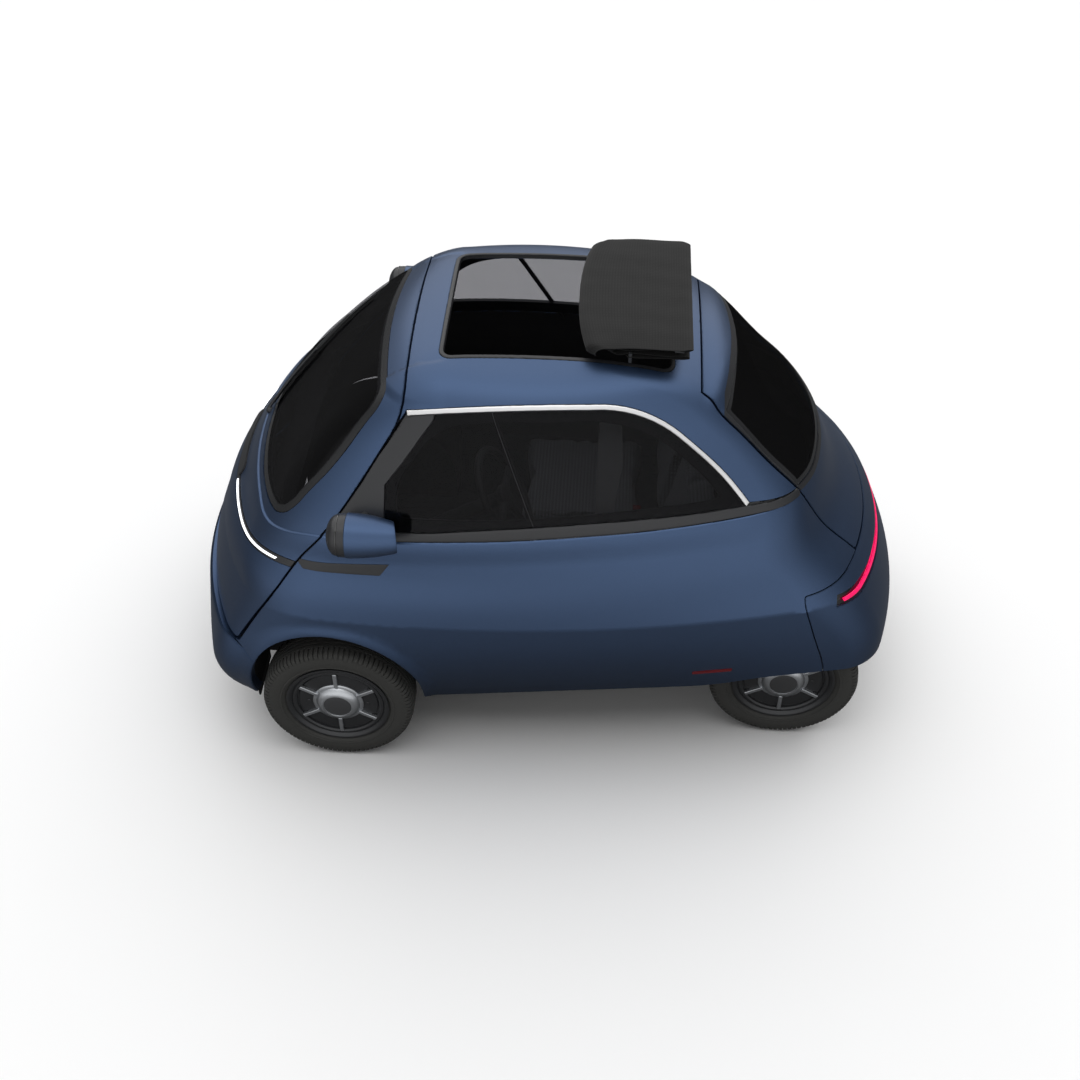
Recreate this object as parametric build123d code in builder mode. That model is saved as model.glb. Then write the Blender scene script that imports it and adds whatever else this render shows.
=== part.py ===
"""Egg-shaped two-seat electric microcar with a front-opening door, in separate named pieces.

Millimetres. +X runs to the tail, so the car faces -X, +Y is its right side and +Z is up.
The origin is on the ground, midway between nose and tail.
"""

import os
from collections import namedtuple
from math import atan2, cos, hypot, radians, sin, sqrt

from build123d import *

os.makedirs("parts", exist_ok=True)

# Running gear
WHEELBASE = 1566.0
FRONT_AXLE_X = -709.0
REAR_AXLE_X = FRONT_AXLE_X + WHEELBASE
TYRE_R = 266.0
TYRE_W = 145.0
RIM_SEAT_R = 168.0
RIM_LIP_R = 181.0
FRONT_TRACK = 1297.0
REAR_TRACK = 903.0
KINGPIN_Y = FRONT_TRACK / 2 - 33.5
SPINDLE_R = 20.0
RUNNING_GAP = 0.05

# Panels: joints between moving ones and between fixed ones, and depths below the body's surface
DOOR_GAP = 7.5
GAP = 6.0
SEAT_GAP = 1.5
GLASS_FACE = 1.0
GLASS_T = 6.0
LAMP_DEPTH = 20.0
FRAME_EDGE = 26.0
BAR_GAP = 2.0
PROUD = 3.0
LEDGE = 22.0
STRIP_HALF = 8.0

# Wiper, mirror pods and their arms
WIPER_H = 18.0
ARM_R = 14.0
ARM_L = 140.0
ARM_Y = 560.0
ARM_DROP = 12.0
POD = (-554.0, -710.0, 1081.0)
POD_FRONT = 47.0
POD_REAR = 116.0
POD_FRONT_R = 72.0
POD_REAR_R = 51.0
POD_MIDDLE = (40.0, 65.0)
LENS_R = 70.0

# Front wheel arches and their housings
ARCH_Z = 340.0
ARCH_R = 298.0
ARCH_HALF = 300.0
LINER = 6.0
LINER_Y = 430.0

# Sunroof opening, and the fabric folded behind it
SUNROOF_FRONT = -345.0
SUNROOF_REAR = 400.0
SUNROOF_HALF = 306.0
SUNROOF_CORNER_R = 70.0
SUNROOF_FROM = 1330.0
TOP_HALF = 322.0

# Floor tub
FLOOR_Z = 230.0
FLOOR_T = 25.0
PANEL_T = 15.0
DECK_T = 20.0
TUB_FRONT = -1300.0
TUB_STEP = FRONT_AXLE_X + ARCH_HALF + LINER
BULKHEAD_X = 560.0
SILL_TOP = 400.0
SILL_IN = 560.0
SILL_FOOT = (600.0, 336.0)
FLOOR_HALF = 490.0
DECK_TOP = 580.0
APRON_X = -1105.0
APRON_TOP = 498.0
SHELF_FRONT = 600.0
SHELF_TOP = 914.0
SHELF_T = 10.0
SHELF_PAD_T = 4.0
SHELF_PAD_IN = 85.0
DASH_X = -856.0
DASH_DEPTH = 94.0
DASH_Z = 830.0
DASH_TOP = 900.0

# Seat bench and heavy blocks
SEAT_FRONT = -130.0
SEAT_REAR = 480.0
SEAT_HALF = 520.0
SEAT_Z = 400.0
SEAT_T = 140.0
BACK_HALF = 430.0
BATTERY = (500.0, 900.0)
BATTERY_X = 150.0
MOTOR = (215.0, 460.0, 230.0)
MOTOR_GAP = 12.0
MOTOR_Z = 190.0

# Steering
STEER_Y = -235.0
HUB_X = -150.0
HUB_Z = 850.0
STEER_TILT = 30.0
STEER_R = 172.0
STEER_GRIP_R = 13.0
BOSS_R = 38.0
SPOKE = (24.0, 10.0)
SPOKE_LAP = 16.0
SHAFT_R = 10.0
SHAFT_L = 110.0
COLUMN_R = 26.0
COLUMN_L = 470.0
COLUMN_GAP = 20.0
POST_R = 30.0
END_PLAY = 5.0

# Suspension
KINGPIN_R = 12.0
KINGPIN_L = 90.0
KINGPIN_FOOT = 10.0
PIN_PLAY = 0.5
KNUCKLE = (60.0, 40.0, 95.0)
KNUCKLE_Z = 225.0
MEMBER_W = 100.0
MEMBER_T = 45.0
MEMBER_L = 800.0
ARM_T = 25.0
ARM_W = 44.0
ARM_END = 14.0
SPINDLE_L = 48.0
AXLE_R = 30.0
AXLE_SHORT = 26.0
SPINDLE_REACH = 30.0
TRAIL_Y = 255.0
TRAIL_T = 50.0

# Cutting prisms run well past the body; those of one side or one end start clear of the middle
REACH = 1000.0
FAR = 1500.0
HIGH = 1700.0
SIDE_START = 100.0
NOSE_SIDE = (-1400.0, -300.0)
LAMP_SIDE = (-1400.0, -780.0)
TAIL_SIDE = (400.0, 1400.0)

# Plan outlines of the body, bottom to roof. Each is drawn as eight tangent arcs: a nose arc, a tail
# arc, two side arcs through (x1, w1), (x2, w2), (x3, w3), and a corner arc between each of them.
# wall is how far the inner face stands in from the outer one, drop is how far it stands below it.
Ring = namedtuple("Ring", "z nose tail nose_r tail_r front_r rear_r x1 w1 x2 w2 x3 w3 wall drop")
RINGS = [
    Ring(200, -1205, 1207, 1500, 1400, 230, 160, -956, 638, -26, 598, 980, 538, 22, 0),
    Ring(330, -1232, 1243, 1900, 1400, 185, 180, -956, 684, -26, 658, 980, 560, 22, 0),
    Ring(450, -1232, 1252, 1600, 1400, 210, 190, -926, 710, -26, 700, 980, 570, 22, 0),
    Ring(580, -1220, 1212, 1150, 1250, 290, 225, -876, 717, -26, 727, 950, 577, 24, 0),
    Ring(700, -1177, 1160, 1070, 1050, 320, 290, -816, 717, -26, 735, 874, 590, 40, 0),
    Ring(790, -1142, 1082, 1090, 960, 355, 300, -766, 696, -26, 718, 800, 572, 45, 0),
    Ring(880, -1075, 1002, 1120, 880, 370, 290, -700, 668, -26, 694, 740, 552, 45, 0),
    Ring(1045, -946, 920, 1200, 790, 340, 250, -526, 640, 24, 640, 629, 498, 45, 0),
    Ring(1150, -852, 826, 1100, 750, 310, 230, -476, 580, 24, 594, 524, 470, 42, 8),
    Ring(1300, -701, 686, 1000, 700, 250, 200, -406, 500, 24, 526, 424, 437, 38, 20),
    Ring(1400, -566, 564, 900, 680, 200, 190, -326, 450, 24, 472, 324, 410, 34, 30),
    Ring(1450, -484, 459, 850, 640, 170, 160, -276, 402, 24, 420, 274, 375, 34, 34),
    Ring(1475, -408, 329, 800, 600, 140, 130, -226, 345, 24, 360, 224, 325, 34, 36),
    Ring(1495, -306, 204, 700, 500, 110, 100, -176, 255, 24, 268, 174, 240, 34, 38),
]
CREASE = 4


def circle_through(p, q, r):
    """Centre and radius of the circle through three points."""
    turn = 2 * (p[0] * (q[1] - r[1]) + q[0] * (r[1] - p[1]) + r[0] * (p[1] - q[1]))
    squares = [a * a + b * b for a, b in (p, q, r)]
    x = (squares[0] * (q[1] - r[1]) + squares[1] * (r[1] - p[1]) + squares[2] * (p[1] - q[1])) / turn
    y = (squares[0] * (r[0] - q[0]) + squares[1] * (p[0] - r[0]) + squares[2] * (q[0] - p[0])) / turn
    return (x, y), hypot(p[0] - x, p[1] - y)


def corner_centres(end, end_r, side, side_r):
    """The points at one distance from an end arc's centre and another from a side arc's."""
    dx, dy = side[0] - end[0], side[1] - end[1]
    span = hypot(dx, dy)
    along = (end_r**2 - side_r**2 + span**2) / (2 * span)
    across = sqrt(end_r**2 - along**2)
    return [
        (end[0] + (along * dx + s * across * dy) / span, end[1] + (along * dy - s * across * dx) / span)
        for s in (-1, 1)
    ]


def polar(centre, radius, angle):
    return centre[0] + radius * cos(angle), centre[1] + radius * sin(angle)


def heading(centre, point):
    return atan2(point[1] - centre[1], point[0] - centre[0])


def outline_arcs(ring, inset):
    """Start, middle and end of the eight arcs of one plan outline, moved inward by inset."""
    side, side_r = circle_through((ring.x1, -ring.w1), (ring.x2, -ring.w2), (ring.x3, -ring.w3))
    side_r -= inset
    nose, nose_r = (ring.nose + ring.nose_r, 0.0), ring.nose_r - inset
    tail, tail_r = (ring.tail - ring.tail_r, 0.0), ring.tail_r - inset
    front_r, rear_r = ring.front_r - inset, ring.rear_r - inset
    front = min(c for c in corner_centres(nose, nose_r - front_r, side, side_r - front_r) if c[1] < 0)
    rear = max(c for c in corner_centres(tail, tail_r - rear_r, side, side_r - rear_r) if c[1] < 0)
    turns = [heading(nose, front), heading(side, front), heading(side, rear), heading(tail, rear)]
    left = [
        tuple(polar(centre, radius, a) for a in (start, (start + end) / 2, end))
        for centre, radius, start, end in (
            (front, front_r, turns[0], turns[1]),
            (side, side_r, turns[1], turns[2]),
            (rear, rear_r, turns[2], turns[3]),
        )
    ]
    right = [tuple((x, -y) for x, y in reversed(arc)) for arc in reversed(left)]
    tail_arc = (left[-1][2], (ring.tail - inset, 0.0), right[0][0])
    nose_arc = (right[-1][2], (ring.nose + inset, 0.0), left[0][0])
    return [*left, tail_arc, *right, nose_arc]


def outline(ring, inset, z):
    """One plan outline as a face."""
    with BuildSketch(Plane.XY.offset(z)) as face:
        with BuildLine():
            for arc in outline_arcs(ring, inset):
                ThreePointArc(*arc)
        make_face()
    return face.sketch.face()


def egg(inset=None, ledge=0.0):
    """The closed body form moved inward by inset, or its cabin side where inset is left out.

    ledge moves its nose forward below the crease.
    """
    if inset is None:
        faces = [outline(ring, ring.wall, ring.z - ring.drop) for ring in RINGS]
    else:
        low = [ring._replace(nose=ring.nose - ledge) for ring in RINGS[:CREASE]]
        faces = [outline(ring, inset, ring.z) for ring in [*low, *RINGS[CREASE:]]]
    with BuildPart() as form:
        loft(sections=faces[: CREASE + 1])
        loft(sections=faces[CREASE:])
    return form.part


def prism(plane, points, length, shrink=0.0):
    """A prism along a plane's normal from a closed outline, moved inward by shrink."""
    with BuildPart() as solid:
        with BuildSketch(plane) as face:
            with BuildLine():
                Polyline(*points, close=True)
            make_face()
            if shrink:
                offset(amount=-shrink, kind=Kind.INTERSECTION, mode=Mode.REPLACE)
        extrude(amount=length)
    return solid.part


def side_prism(points, low=-REACH, high=REACH, shrink=0.0):
    """A prism across the car from y = low to y = high, from (x, z) corners."""
    return prism(Plane.XZ.offset(-high), points, high - low, shrink)


def end_prism(points, low, high, shrink=0.0):
    """A prism along the car from x = low to x = high, from (y, z) corners."""
    return prism(Plane.YZ.offset(low), points, high - low, shrink)


def slab(x, y, z):
    """A box from three (low, high) pairs."""
    with BuildPart() as box:
        with Locations((sum(x) / 2, sum(y) / 2, sum(z) / 2)):
            Box(x[1] - x[0], y[1] - y[0], z[1] - z[0])
    return box.part


def both_sides(half):
    """(y, z) corners of one side from the centre out, closed by their mirror image."""
    return [*half, *((-y, z) for y, z in reversed(half) if y)]


def keep(*tools):
    """Keeps what the part being built shares with every tool."""
    for tool in tools:
        add(tool, mode=Mode.INTERSECT)


def cut(*tools):
    """Takes the tools away from the part being built."""
    for tool in tools:
        add(tool, mode=Mode.SUBTRACT)


# ---------------------------------------------------------------- forms
body_form = egg(0.0)
bumper_form = egg(0.0, LEDGE)
cabin_form = egg()
proud_form = egg(-PROUD)
glass_face = egg(GLASS_FACE)
glass_back = egg(GLASS_FACE + GLASS_T)
lamp_back = egg(LAMP_DEPTH)
wiper_form = egg(-WIPER_H)
shelf_form = egg(SHELF_PAD_IN)
skin = body_form - cabin_form
pane = glass_face - glass_back

# ---------------------------------------------------------------- joints between panels
# The front door's rear edge seen from the side: down the A-pillar to the bumper
DOOR_EDGE = [(-480, 1600), (-428, 1385), (-578, 1164), (-690, 1020), (-801, 888), (-921, 718)]
DOOR_LOW = 522.0
DOOR_CORNER_X = -1044.0
DOOR_FRONT = [(-FAR, DOOR_LOW), (-FAR, 1600)]
DOOR_ZONE = [*DOOR_EDGE, (DOOR_CORNER_X, DOOR_LOW), *DOOR_FRONT]
DOOR_CUT = [(x + DOOR_GAP, z) for x, z in DOOR_EDGE]
DOOR_CUT += [(DOOR_CORNER_X + DOOR_GAP, DOOR_LOW - DOOR_GAP), (-FAR, DOOR_LOW - DOOR_GAP), (-FAR, 1600)]
BODY_SIDE = [(x + DOOR_GAP, z) for x, z in DOOR_EDGE]
BODY_SIDE += [(DOOR_CORNER_X + DOOR_GAP, 100), (FAR, 100), (FAR, HIGH), (-480, HIGH)]

# The windscreen and the rear glass, one side from the centre out
SCREEN = [(0, 1427), (-191, 1419), (-350, 1397), (-405, 1356), (-460, 1248), (-508, 1129), (-536, 1045)]
SCREEN += [(-530, 1000), (-500, 977), (-340, 972), (-219, 979), (0, 990)]
REAR_SCREEN = [(0, 1378), (-130, 1374), (-240, 1358), (-332, 1333), (-346, 1205), (-358, 1058)]
REAR_SCREEN += [(-259, 1045), (0, 1052)]
# The tailgate, one side from the centre out
TAILGATE = [(0, 1600), (-314, 1600), (-314, 1398), (-350, 1329), (-351, 1205), (-369, 1045)]
TAILGATE += [(-337, 889), (-323, 758), (0, 758)]
TAILGATE_X = 489.0

# The bumpers meet the body side here
NOSE_SEAM = [(-1048, DOOR_LOW - GAP), (-968, 462), (-968, 100)]
NOSE_ZONE = [(-FAR, DOOR_LOW - GAP), *NOSE_SEAM, (-FAR, 100)]
NOSE_CUT = [(-FAR, DOOR_LOW), *((x + GAP, z + GAP / 2) for x, z in NOSE_SEAM), (-FAR, 100)]
TAIL_SEAM = [(870, 752), (875, 724), (922, 580), (981, 412), (985, 100)]
TAIL_ZONE = [*TAIL_SEAM, (FAR, 100), (FAR, 752)]
TAIL_CUT = [(870 - GAP, 752 + GAP), *((x - GAP, z) for x, z in TAIL_SEAM[1:]), (FAR, 100), (FAR, 752 + GAP)]

# The side windows: x, z and outward normal along the bright strip over them, front to rear
Strip = namedtuple("Strip", "x z nx nz")
STRIP = [
    Strip(-429, 1369, -0.19, 0.98),
    Strip(-137, 1411, -0.08, 1.00),
    Strip(150, 1414, 0.12, 0.99),
    Strip(310, 1380, 0.43, 0.90),
    Strip(421, 1310, 0.66, 0.75),
    Strip(545, 1190, 0.72, 0.69),
    Strip(654, 1068, 0.73, 0.68),
]
BELT_LOW = [(795, 1046), (760, 1044), (502, 1040), (185, 1028), (-128, 1017), (-684, 1017)]
BELT_HIGH = [(-684, 1050), (-446, 1050), (-129, 1065), (247, 1077), (650, 1072), (795, 1059)]
BELT_TOP = [(x, z + SEAT_GAP) for x, z in BELT_HIGH]
SAIL = [(-684, 1050), (-430, 1356), (-343, 1385), (-343, 1366), (-446, 1229), (-498, 1168), (-498, 1050)]
SAIL_INNER = [(-498, 1168), (-446, 1229), (-343, 1366)]
GLASS_FRONT = [(x + SEAT_GAP, z) for x, z in SAIL_INNER]
GLASS_AREA = [(-498 + SEAT_GAP, 1000), *GLASS_FRONT, (-341, 1500), (900, 1500), (900, 1000)]
CLEAR_AREA = [(-460, 1085), (-460, 1185), (-325, 1350), (-150, 1378), (150, 1382), (285, 1350), (385, 1290)]
CLEAR_AREA += [(500, 1178), (575, 1098), (247, 1105), (-129, 1093)]
PANE_SPLIT = [(-246, 1600), (26, 956), (26, 900)]
FRONT_PANE = [(-600, 900), (-600, 1600), *((x - SEAT_GAP, z) for x, z in PANE_SPLIT)]
REAR_PANE = [(900, 900), (900, 1600), *((x + SEAT_GAP, z) for x, z in PANE_SPLIT)]

# The light bar across the door, one side from the centre out, and the tail lamp seen from the side
BAR_HIGH = [(0, 850), (-200, 850), (-436, 852), (-532, 865), (-604, 878), (-700, 898)]
BAR_LOW = [(-700, 874), (-604, 854), (-532, 841), (-436, 828), (-200, 826), (0, 826)]
LAMP = [(985, 686), (1400, 610), (1400, 646), (985, 720)]
WIPER = [(40, 962), (66, 962), (262, 1328), (236, 1328)]

# The lower edge of the body side
SILL = [(-1400, 236), (-1005, 236), (-405, 262), (-142, 300), (68, 322), (276, 336), (581, 343)]
SILL += [(758, 383), (1000, 396), (1400, 396), (1400, 100), (-1400, 100)]

# The folded fabric and the seat back seen from the side
TOP_FOLD = [(110, 1440), (112, 1530), (130, 1548), (400, 1556), (446, 1536), (452, 1440)]
SEAT_BACK = [(355, SEAT_Z + SEAT_T), (475, SEAT_Z + SEAT_T), (575, 985), (545, 1012), (485, 1005)]


def strip_points(shift):
    """Points along the bright strip moved outward by shift."""
    return [(p.x + shift * p.nx, p.z + shift * p.nz) for p in STRIP]


def strip_arcs(points):
    for k in range(0, len(points) - 1, 2):
        ThreePointArc(*points[k : k + 3])


def window_zone(shift, low):
    """Prism over the left windows, under the bright strip moved by shift and closed by the corners low."""
    top = strip_points(shift)
    with BuildPart() as zone:
        with BuildSketch(Plane.XZ.offset(SIDE_START)):
            with BuildLine():
                strip_arcs(top)
                Polyline(top[-1], *low, top[0])
            make_face()
        extrude(amount=REACH)
    return zone.part


def strip_prism():
    """Prism over the bright strip of the left side."""
    upper, lower = strip_points(STRIP_HALF), strip_points(-STRIP_HALF)[::-1]
    with BuildPart() as band:
        with BuildSketch(Plane.XZ.offset(SIDE_START)):
            with BuildLine():
                strip_arcs(upper)
                Line(upper[-1], lower[0])
                strip_arcs(lower)
                Line(lower[-1], upper[0])
            make_face()
        extrude(amount=REACH)
    return band.part


def arch_form(y, radius, half, foot):
    """The wheel arch's space from y[0] to y[1]: a cylinder over a box that runs down to foot."""
    with BuildPart() as space:
        with BuildSketch(Plane.XZ.offset(-y[1])):
            with Locations((FRONT_AXLE_X, ARCH_Z)):
                Circle(radius)
                Rectangle(2 * half, ARCH_Z - foot, align=(Align.CENTER, Align.MAX))
        extrude(amount=y[1] - y[0])
    return space.part


# ---------------------------------------------------------------- cutting prisms
door_zone = side_prism(DOOR_ZONE)
body_side = side_prism(BODY_SIDE)
below_sill = side_prism(SILL)
arch = arch_form((-REACH, REACH), ARCH_R, ARCH_HALF, 0.0)
screen_rebate = end_prism(both_sides(SCREEN), *NOSE_SIDE) - glass_back
screen_clear = end_prism(both_sides(SCREEN), *NOSE_SIDE, FRAME_EDGE)
screen_zone = end_prism(both_sides(SCREEN), *NOSE_SIDE, SEAT_GAP)
rear_rebate = end_prism(both_sides(REAR_SCREEN), *TAIL_SIDE) - glass_back
rear_clear = end_prism(both_sides(REAR_SCREEN), *TAIL_SIDE, FRAME_EDGE)
rear_zone = end_prism(both_sides(REAR_SCREEN), *TAIL_SIDE, SEAT_GAP)
hatch_zone = end_prism(both_sides(TAILGATE), TAILGATE_X, TAIL_SIDE[1])
hatch_opening = end_prism(both_sides(TAILGATE), TAILGATE_X - GAP, TAIL_SIDE[1], -GAP)
bar_zone = end_prism(both_sides([*BAR_HIGH, *BAR_LOW]), *LAMP_SIDE)
lamp_zone = side_prism(LAMP)
clear_left = side_prism(CLEAR_AREA, -REACH, -SIDE_START)
rebate_left = window_zone(STRIP_HALF, [(795, 1059), *BELT_LOW, (-684, 1050)]) - glass_back
clear_right = mirror(clear_left, about=Plane.XZ)
rebate_right = mirror(rebate_left, about=Plane.XZ)
under_strip = window_zone(-STRIP_HALF - SEAT_GAP, [(647, 990), (-700, 990), (-700, 1060)])
belt_zone = side_prism([*BELT_LOW, *BELT_HIGH], -REACH, -SIDE_START)
with BuildPart() as sunroof:
    with BuildSketch(Plane.XY.offset(SUNROOF_FROM)):
        with Locations(((SUNROOF_FRONT + SUNROOF_REAR) / 2, 0)):
            RectangleRounded(SUNROOF_REAR - SUNROOF_FRONT, 2 * SUNROOF_HALF, SUNROOF_CORNER_R)
    extrude(amount=HIGH - SUNROOF_FROM)

# ---------------------------------------------------------------- body shell and bumpers
with BuildPart() as body_shell:
    add(skin)
    cut(side_prism(DOOR_CUT), side_prism(NOSE_CUT), side_prism(TAIL_CUT), arch, below_sill)
    cut(sunroof.part, hatch_opening)
    cut(rebate_left, clear_left, rebate_right, clear_right)

# A ledge behind the front bumper's upper edge closes the gap under the door
with BuildPart() as front_bumper:
    add(bumper_form - cabin_form)
    keep(side_prism(NOSE_ZONE))
    cut(arch, below_sill)
    add(slab((TUB_FRONT, APRON_X), (-LINER_Y, LINER_Y), (APRON_TOP, DOOR_LOW - DOOR_GAP)) & cabin_form)

with BuildPart() as rear_bumper:
    add(skin)
    keep(side_prism(TAIL_ZONE))
    cut(below_sill, lamp_zone - lamp_back)

with BuildPart() as tail_light_bar:
    add(body_form - lamp_back)
    keep(lamp_zone)

# ---------------------------------------------------------------- door, with its glass and lamps
with BuildPart() as front_door:
    add(skin)
    keep(door_zone)
    cut(screen_rebate, screen_clear, bar_zone - lamp_back)

with BuildPart() as windshield:
    add(pane)
    keep(screen_zone)

with BuildPart() as door_dash:
    add(cabin_form)
    keep(slab((DASH_X - DASH_DEPTH, DASH_X), (-FAR, FAR), (DASH_Z, DASH_TOP)))

with BuildPart() as front_light_bar:
    add(proud_form - lamp_back)
    keep(bar_zone, side_prism([(x - BAR_GAP, z) for x, z in DOOR_ZONE]))

with BuildPart() as wiper:
    add(wiper_form - body_form)
    keep(end_prism(WIPER, *NOSE_SIDE))

# ---------------------------------------------------------------- tailgate and its glass
with BuildPart() as hatch_panel:
    add(skin)
    keep(hatch_zone)
    cut(rear_rebate, rear_clear)

with BuildPart() as rear_glass:
    add(pane)
    keep(rear_zone)

# ---------------------------------------------------------------- side glass and trim
with BuildPart() as side_window_front_left:
    add(pane)
    keep(under_strip, side_prism(GLASS_AREA), side_prism([*BELT_TOP, (795, 1600), (-684, 1600)]))
    keep(side_prism(FRONT_PANE))

with BuildPart() as side_window_rear_left:
    add(pane)
    keep(under_strip, side_prism(GLASS_AREA), side_prism([*BELT_TOP, (795, 1600), (-684, 1600)]))
    keep(side_prism(REAR_PANE))

with BuildPart() as arm:
    with Locations(Location((POD[0] - 5, -ARM_Y, POD[2] - 12), (90 - ARM_DROP, 0, 0))):
        Cylinder(ARM_R, ARM_L, align=(Align.CENTER, Align.CENTER, Align.MIN))

# The strip along the waist, the black panel ahead of the glass, and the arm that carries the pod
with BuildPart() as belt_trim_left:
    add((body_form - glass_back) & belt_zone)
    add((body_form - glass_back) & under_strip & side_prism(SAIL))
    keep(body_side)
    add(arm.part - body_form)

with BuildPart() as window_chrome_left:
    add(proud_form - glass_back)
    keep(strip_prism())
    cut(belt_zone)

# ---------------------------------------------------------------- floor tub
tub_floor = (FLOOR_Z, FLOOR_Z + FLOOR_T)
# The tub's section, one side from the centre out: the floor rises to the sills at its sides
UNDERSIDE = [(0, FLOOR_Z), (-FLOOR_HALF, FLOOR_Z), (-SILL_FOOT[0], SILL_FOOT[1]), (-FAR, SILL_FOOT[1])]
TUB = [*UNDERSIDE, (-FAR, SILL_TOP), (-SILL_IN, SILL_TOP), (-SILL_IN, SILL_FOOT[1] + FLOOR_T)]
TUB += [(FLOOR_T - FLOOR_HALF, tub_floor[1]), (0, tub_floor[1])]
with BuildPart() as floor_pan:
    add(slab((TUB_FRONT, TUB_STEP), (-LINER_Y, LINER_Y), tub_floor))
    add(end_prism(both_sides(TUB), TUB_STEP, BULKHEAD_X))
    add(slab((APRON_X - PANEL_T, APRON_X), (-LINER_Y, LINER_Y), (FLOOR_Z, APRON_TOP)))
    add(slab((BULKHEAD_X - PANEL_T, BULKHEAD_X), (-FAR, FAR), (FLOOR_Z, DECK_TOP)))
    add(slab((BULKHEAD_X - PANEL_T, FAR), (-FAR, FAR), (DECK_TOP - DECK_T, DECK_TOP)))
    keep(cabin_form, end_prism(both_sides([*UNDERSIDE, (-FAR, HIGH), (0, HIGH)]), -FAR, FAR))

with BuildPart() as wheel_housing_left:
    add(arch_form((-REACH, -LINER_Y), ARCH_R + LINER, ARCH_HALF + LINER, FLOOR_Z))
    cut(arch_form((-REACH, -LINER_Y - LINER), ARCH_R, ARCH_HALF, 0.0))
    cut(slab((TUB_FRONT, TUB_STEP), (-REACH, 0), (0, FLOOR_Z)))
    keep(cabin_form)

shelf_base = SHELF_TOP - SHELF_PAD_T
# The shelf's padded middle stands clear of the walls around it
with BuildPart() as parcel_shelf:
    add(cabin_form & slab((SHELF_FRONT, FAR), (-FAR, FAR), (shelf_base - SHELF_T, shelf_base)))
    add(shelf_form & slab((SHELF_FRONT + SHELF_T, FAR), (-FAR, FAR), (shelf_base, SHELF_TOP)))

# ---------------------------------------------------------------- soft top folded on the roof
with BuildPart() as soft_top:
    add(side_prism(TOP_FOLD, -TOP_HALF, TOP_HALF))
    cut(body_form)

# ---------------------------------------------------------------- seats and heavy blocks
with BuildPart() as seat_cushion:
    add(slab((SEAT_FRONT, SEAT_REAR), (-SEAT_HALF, SEAT_HALF), (SEAT_Z, SEAT_Z + SEAT_T)))
with BuildPart() as seat_back:
    add(side_prism(SEAT_BACK, -BACK_HALF, BACK_HALF))
with BuildPart() as battery_block:
    with Locations((BATTERY_X, 0, tub_floor[1])):
        Box(*BATTERY, SEAT_Z - tub_floor[1], align=(Align.CENTER, Align.CENTER, Align.MIN))
with BuildPart() as motor_block:
    with Locations((REAR_AXLE_X - AXLE_R - MOTOR_GAP, 0, MOTOR_Z)):
        Box(*MOTOR, align=(Align.MAX, Align.CENTER, Align.MIN))

# ---------------------------------------------------------------- steering
tilt = radians(STEER_TILT)
shaft_plane = Plane(origin=(HUB_X, STEER_Y, HUB_Z), x_dir=(0, 1, 0), z_dir=(cos(tilt), 0, sin(tilt)))
foot_x, foot_z = HUB_X - COLUMN_L * cos(tilt), HUB_Z - COLUMN_L * sin(tilt)
with BuildPart() as steering_wheel:
    with Locations(shaft_plane.location):
        Torus(STEER_R, STEER_GRIP_R)
        Cylinder(BOSS_R, 2 * STEER_GRIP_R)
        Cylinder(SHAFT_R, SHAFT_L, align=(Align.CENTER, Align.CENTER, Align.MAX))
        with PolarLocations((BOSS_R + STEER_R) / 2, 3, 90):
            Box(STEER_R - BOSS_R + SPOKE_LAP, *SPOKE)
with BuildPart() as steering_column:
    with Locations(shaft_plane.offset(-COLUMN_GAP).location):
        Cylinder(COLUMN_R, COLUMN_L - COLUMN_GAP, align=(Align.CENTER, Align.CENTER, Align.MAX))
    with Locations((foot_x, STEER_Y, tub_floor[1])):
        Cylinder(
            POST_R, foot_z - tub_floor[1] + COLUMN_R, align=(Align.CENTER, Align.CENTER, Align.MIN)
        )
    with Locations(shaft_plane.offset(-COLUMN_GAP).location):
        Cylinder(
            SHAFT_R + RUNNING_GAP,
            SHAFT_L - COLUMN_GAP + END_PLAY,
            align=(Align.CENTER, Align.CENTER, Align.MAX),
            mode=Mode.SUBTRACT,
        )

# ---------------------------------------------------------------- running gear
with BuildPart() as front_suspension:
    with Locations((FRONT_AXLE_X, 0, FLOOR_Z - MEMBER_T / 2)):
        Box(MEMBER_W, MEMBER_L, MEMBER_T)
        Box(ARM_W, 2 * (KINGPIN_Y + ARM_END), ARM_T)
    with Locations(*((FRONT_AXLE_X, side * KINGPIN_Y, KNUCKLE_Z - KINGPIN_FOOT) for side in (-1, 1))):
        Cylinder(KINGPIN_R, KINGPIN_L, align=(Align.CENTER, Align.CENTER, Align.MIN))
with BuildPart() as knuckle_left:
    with Locations((FRONT_AXLE_X, -KINGPIN_Y, KNUCKLE_Z)):
        Box(*KNUCKLE, align=(Align.CENTER, Align.CENTER, Align.MIN))
        Cylinder(
            KINGPIN_R + RUNNING_GAP,
            KINGPIN_L - KINGPIN_FOOT + PIN_PLAY,
            align=(Align.CENTER, Align.CENTER, Align.MIN),
            mode=Mode.SUBTRACT,
        )
    with Locations(Location((FRONT_AXLE_X, -KINGPIN_Y - KNUCKLE[1] / 2, TYRE_R), (90, 0, 0))):
        Cylinder(SPINDLE_R, SPINDLE_L, align=(Align.CENTER, Align.CENTER, Align.MIN))
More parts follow.
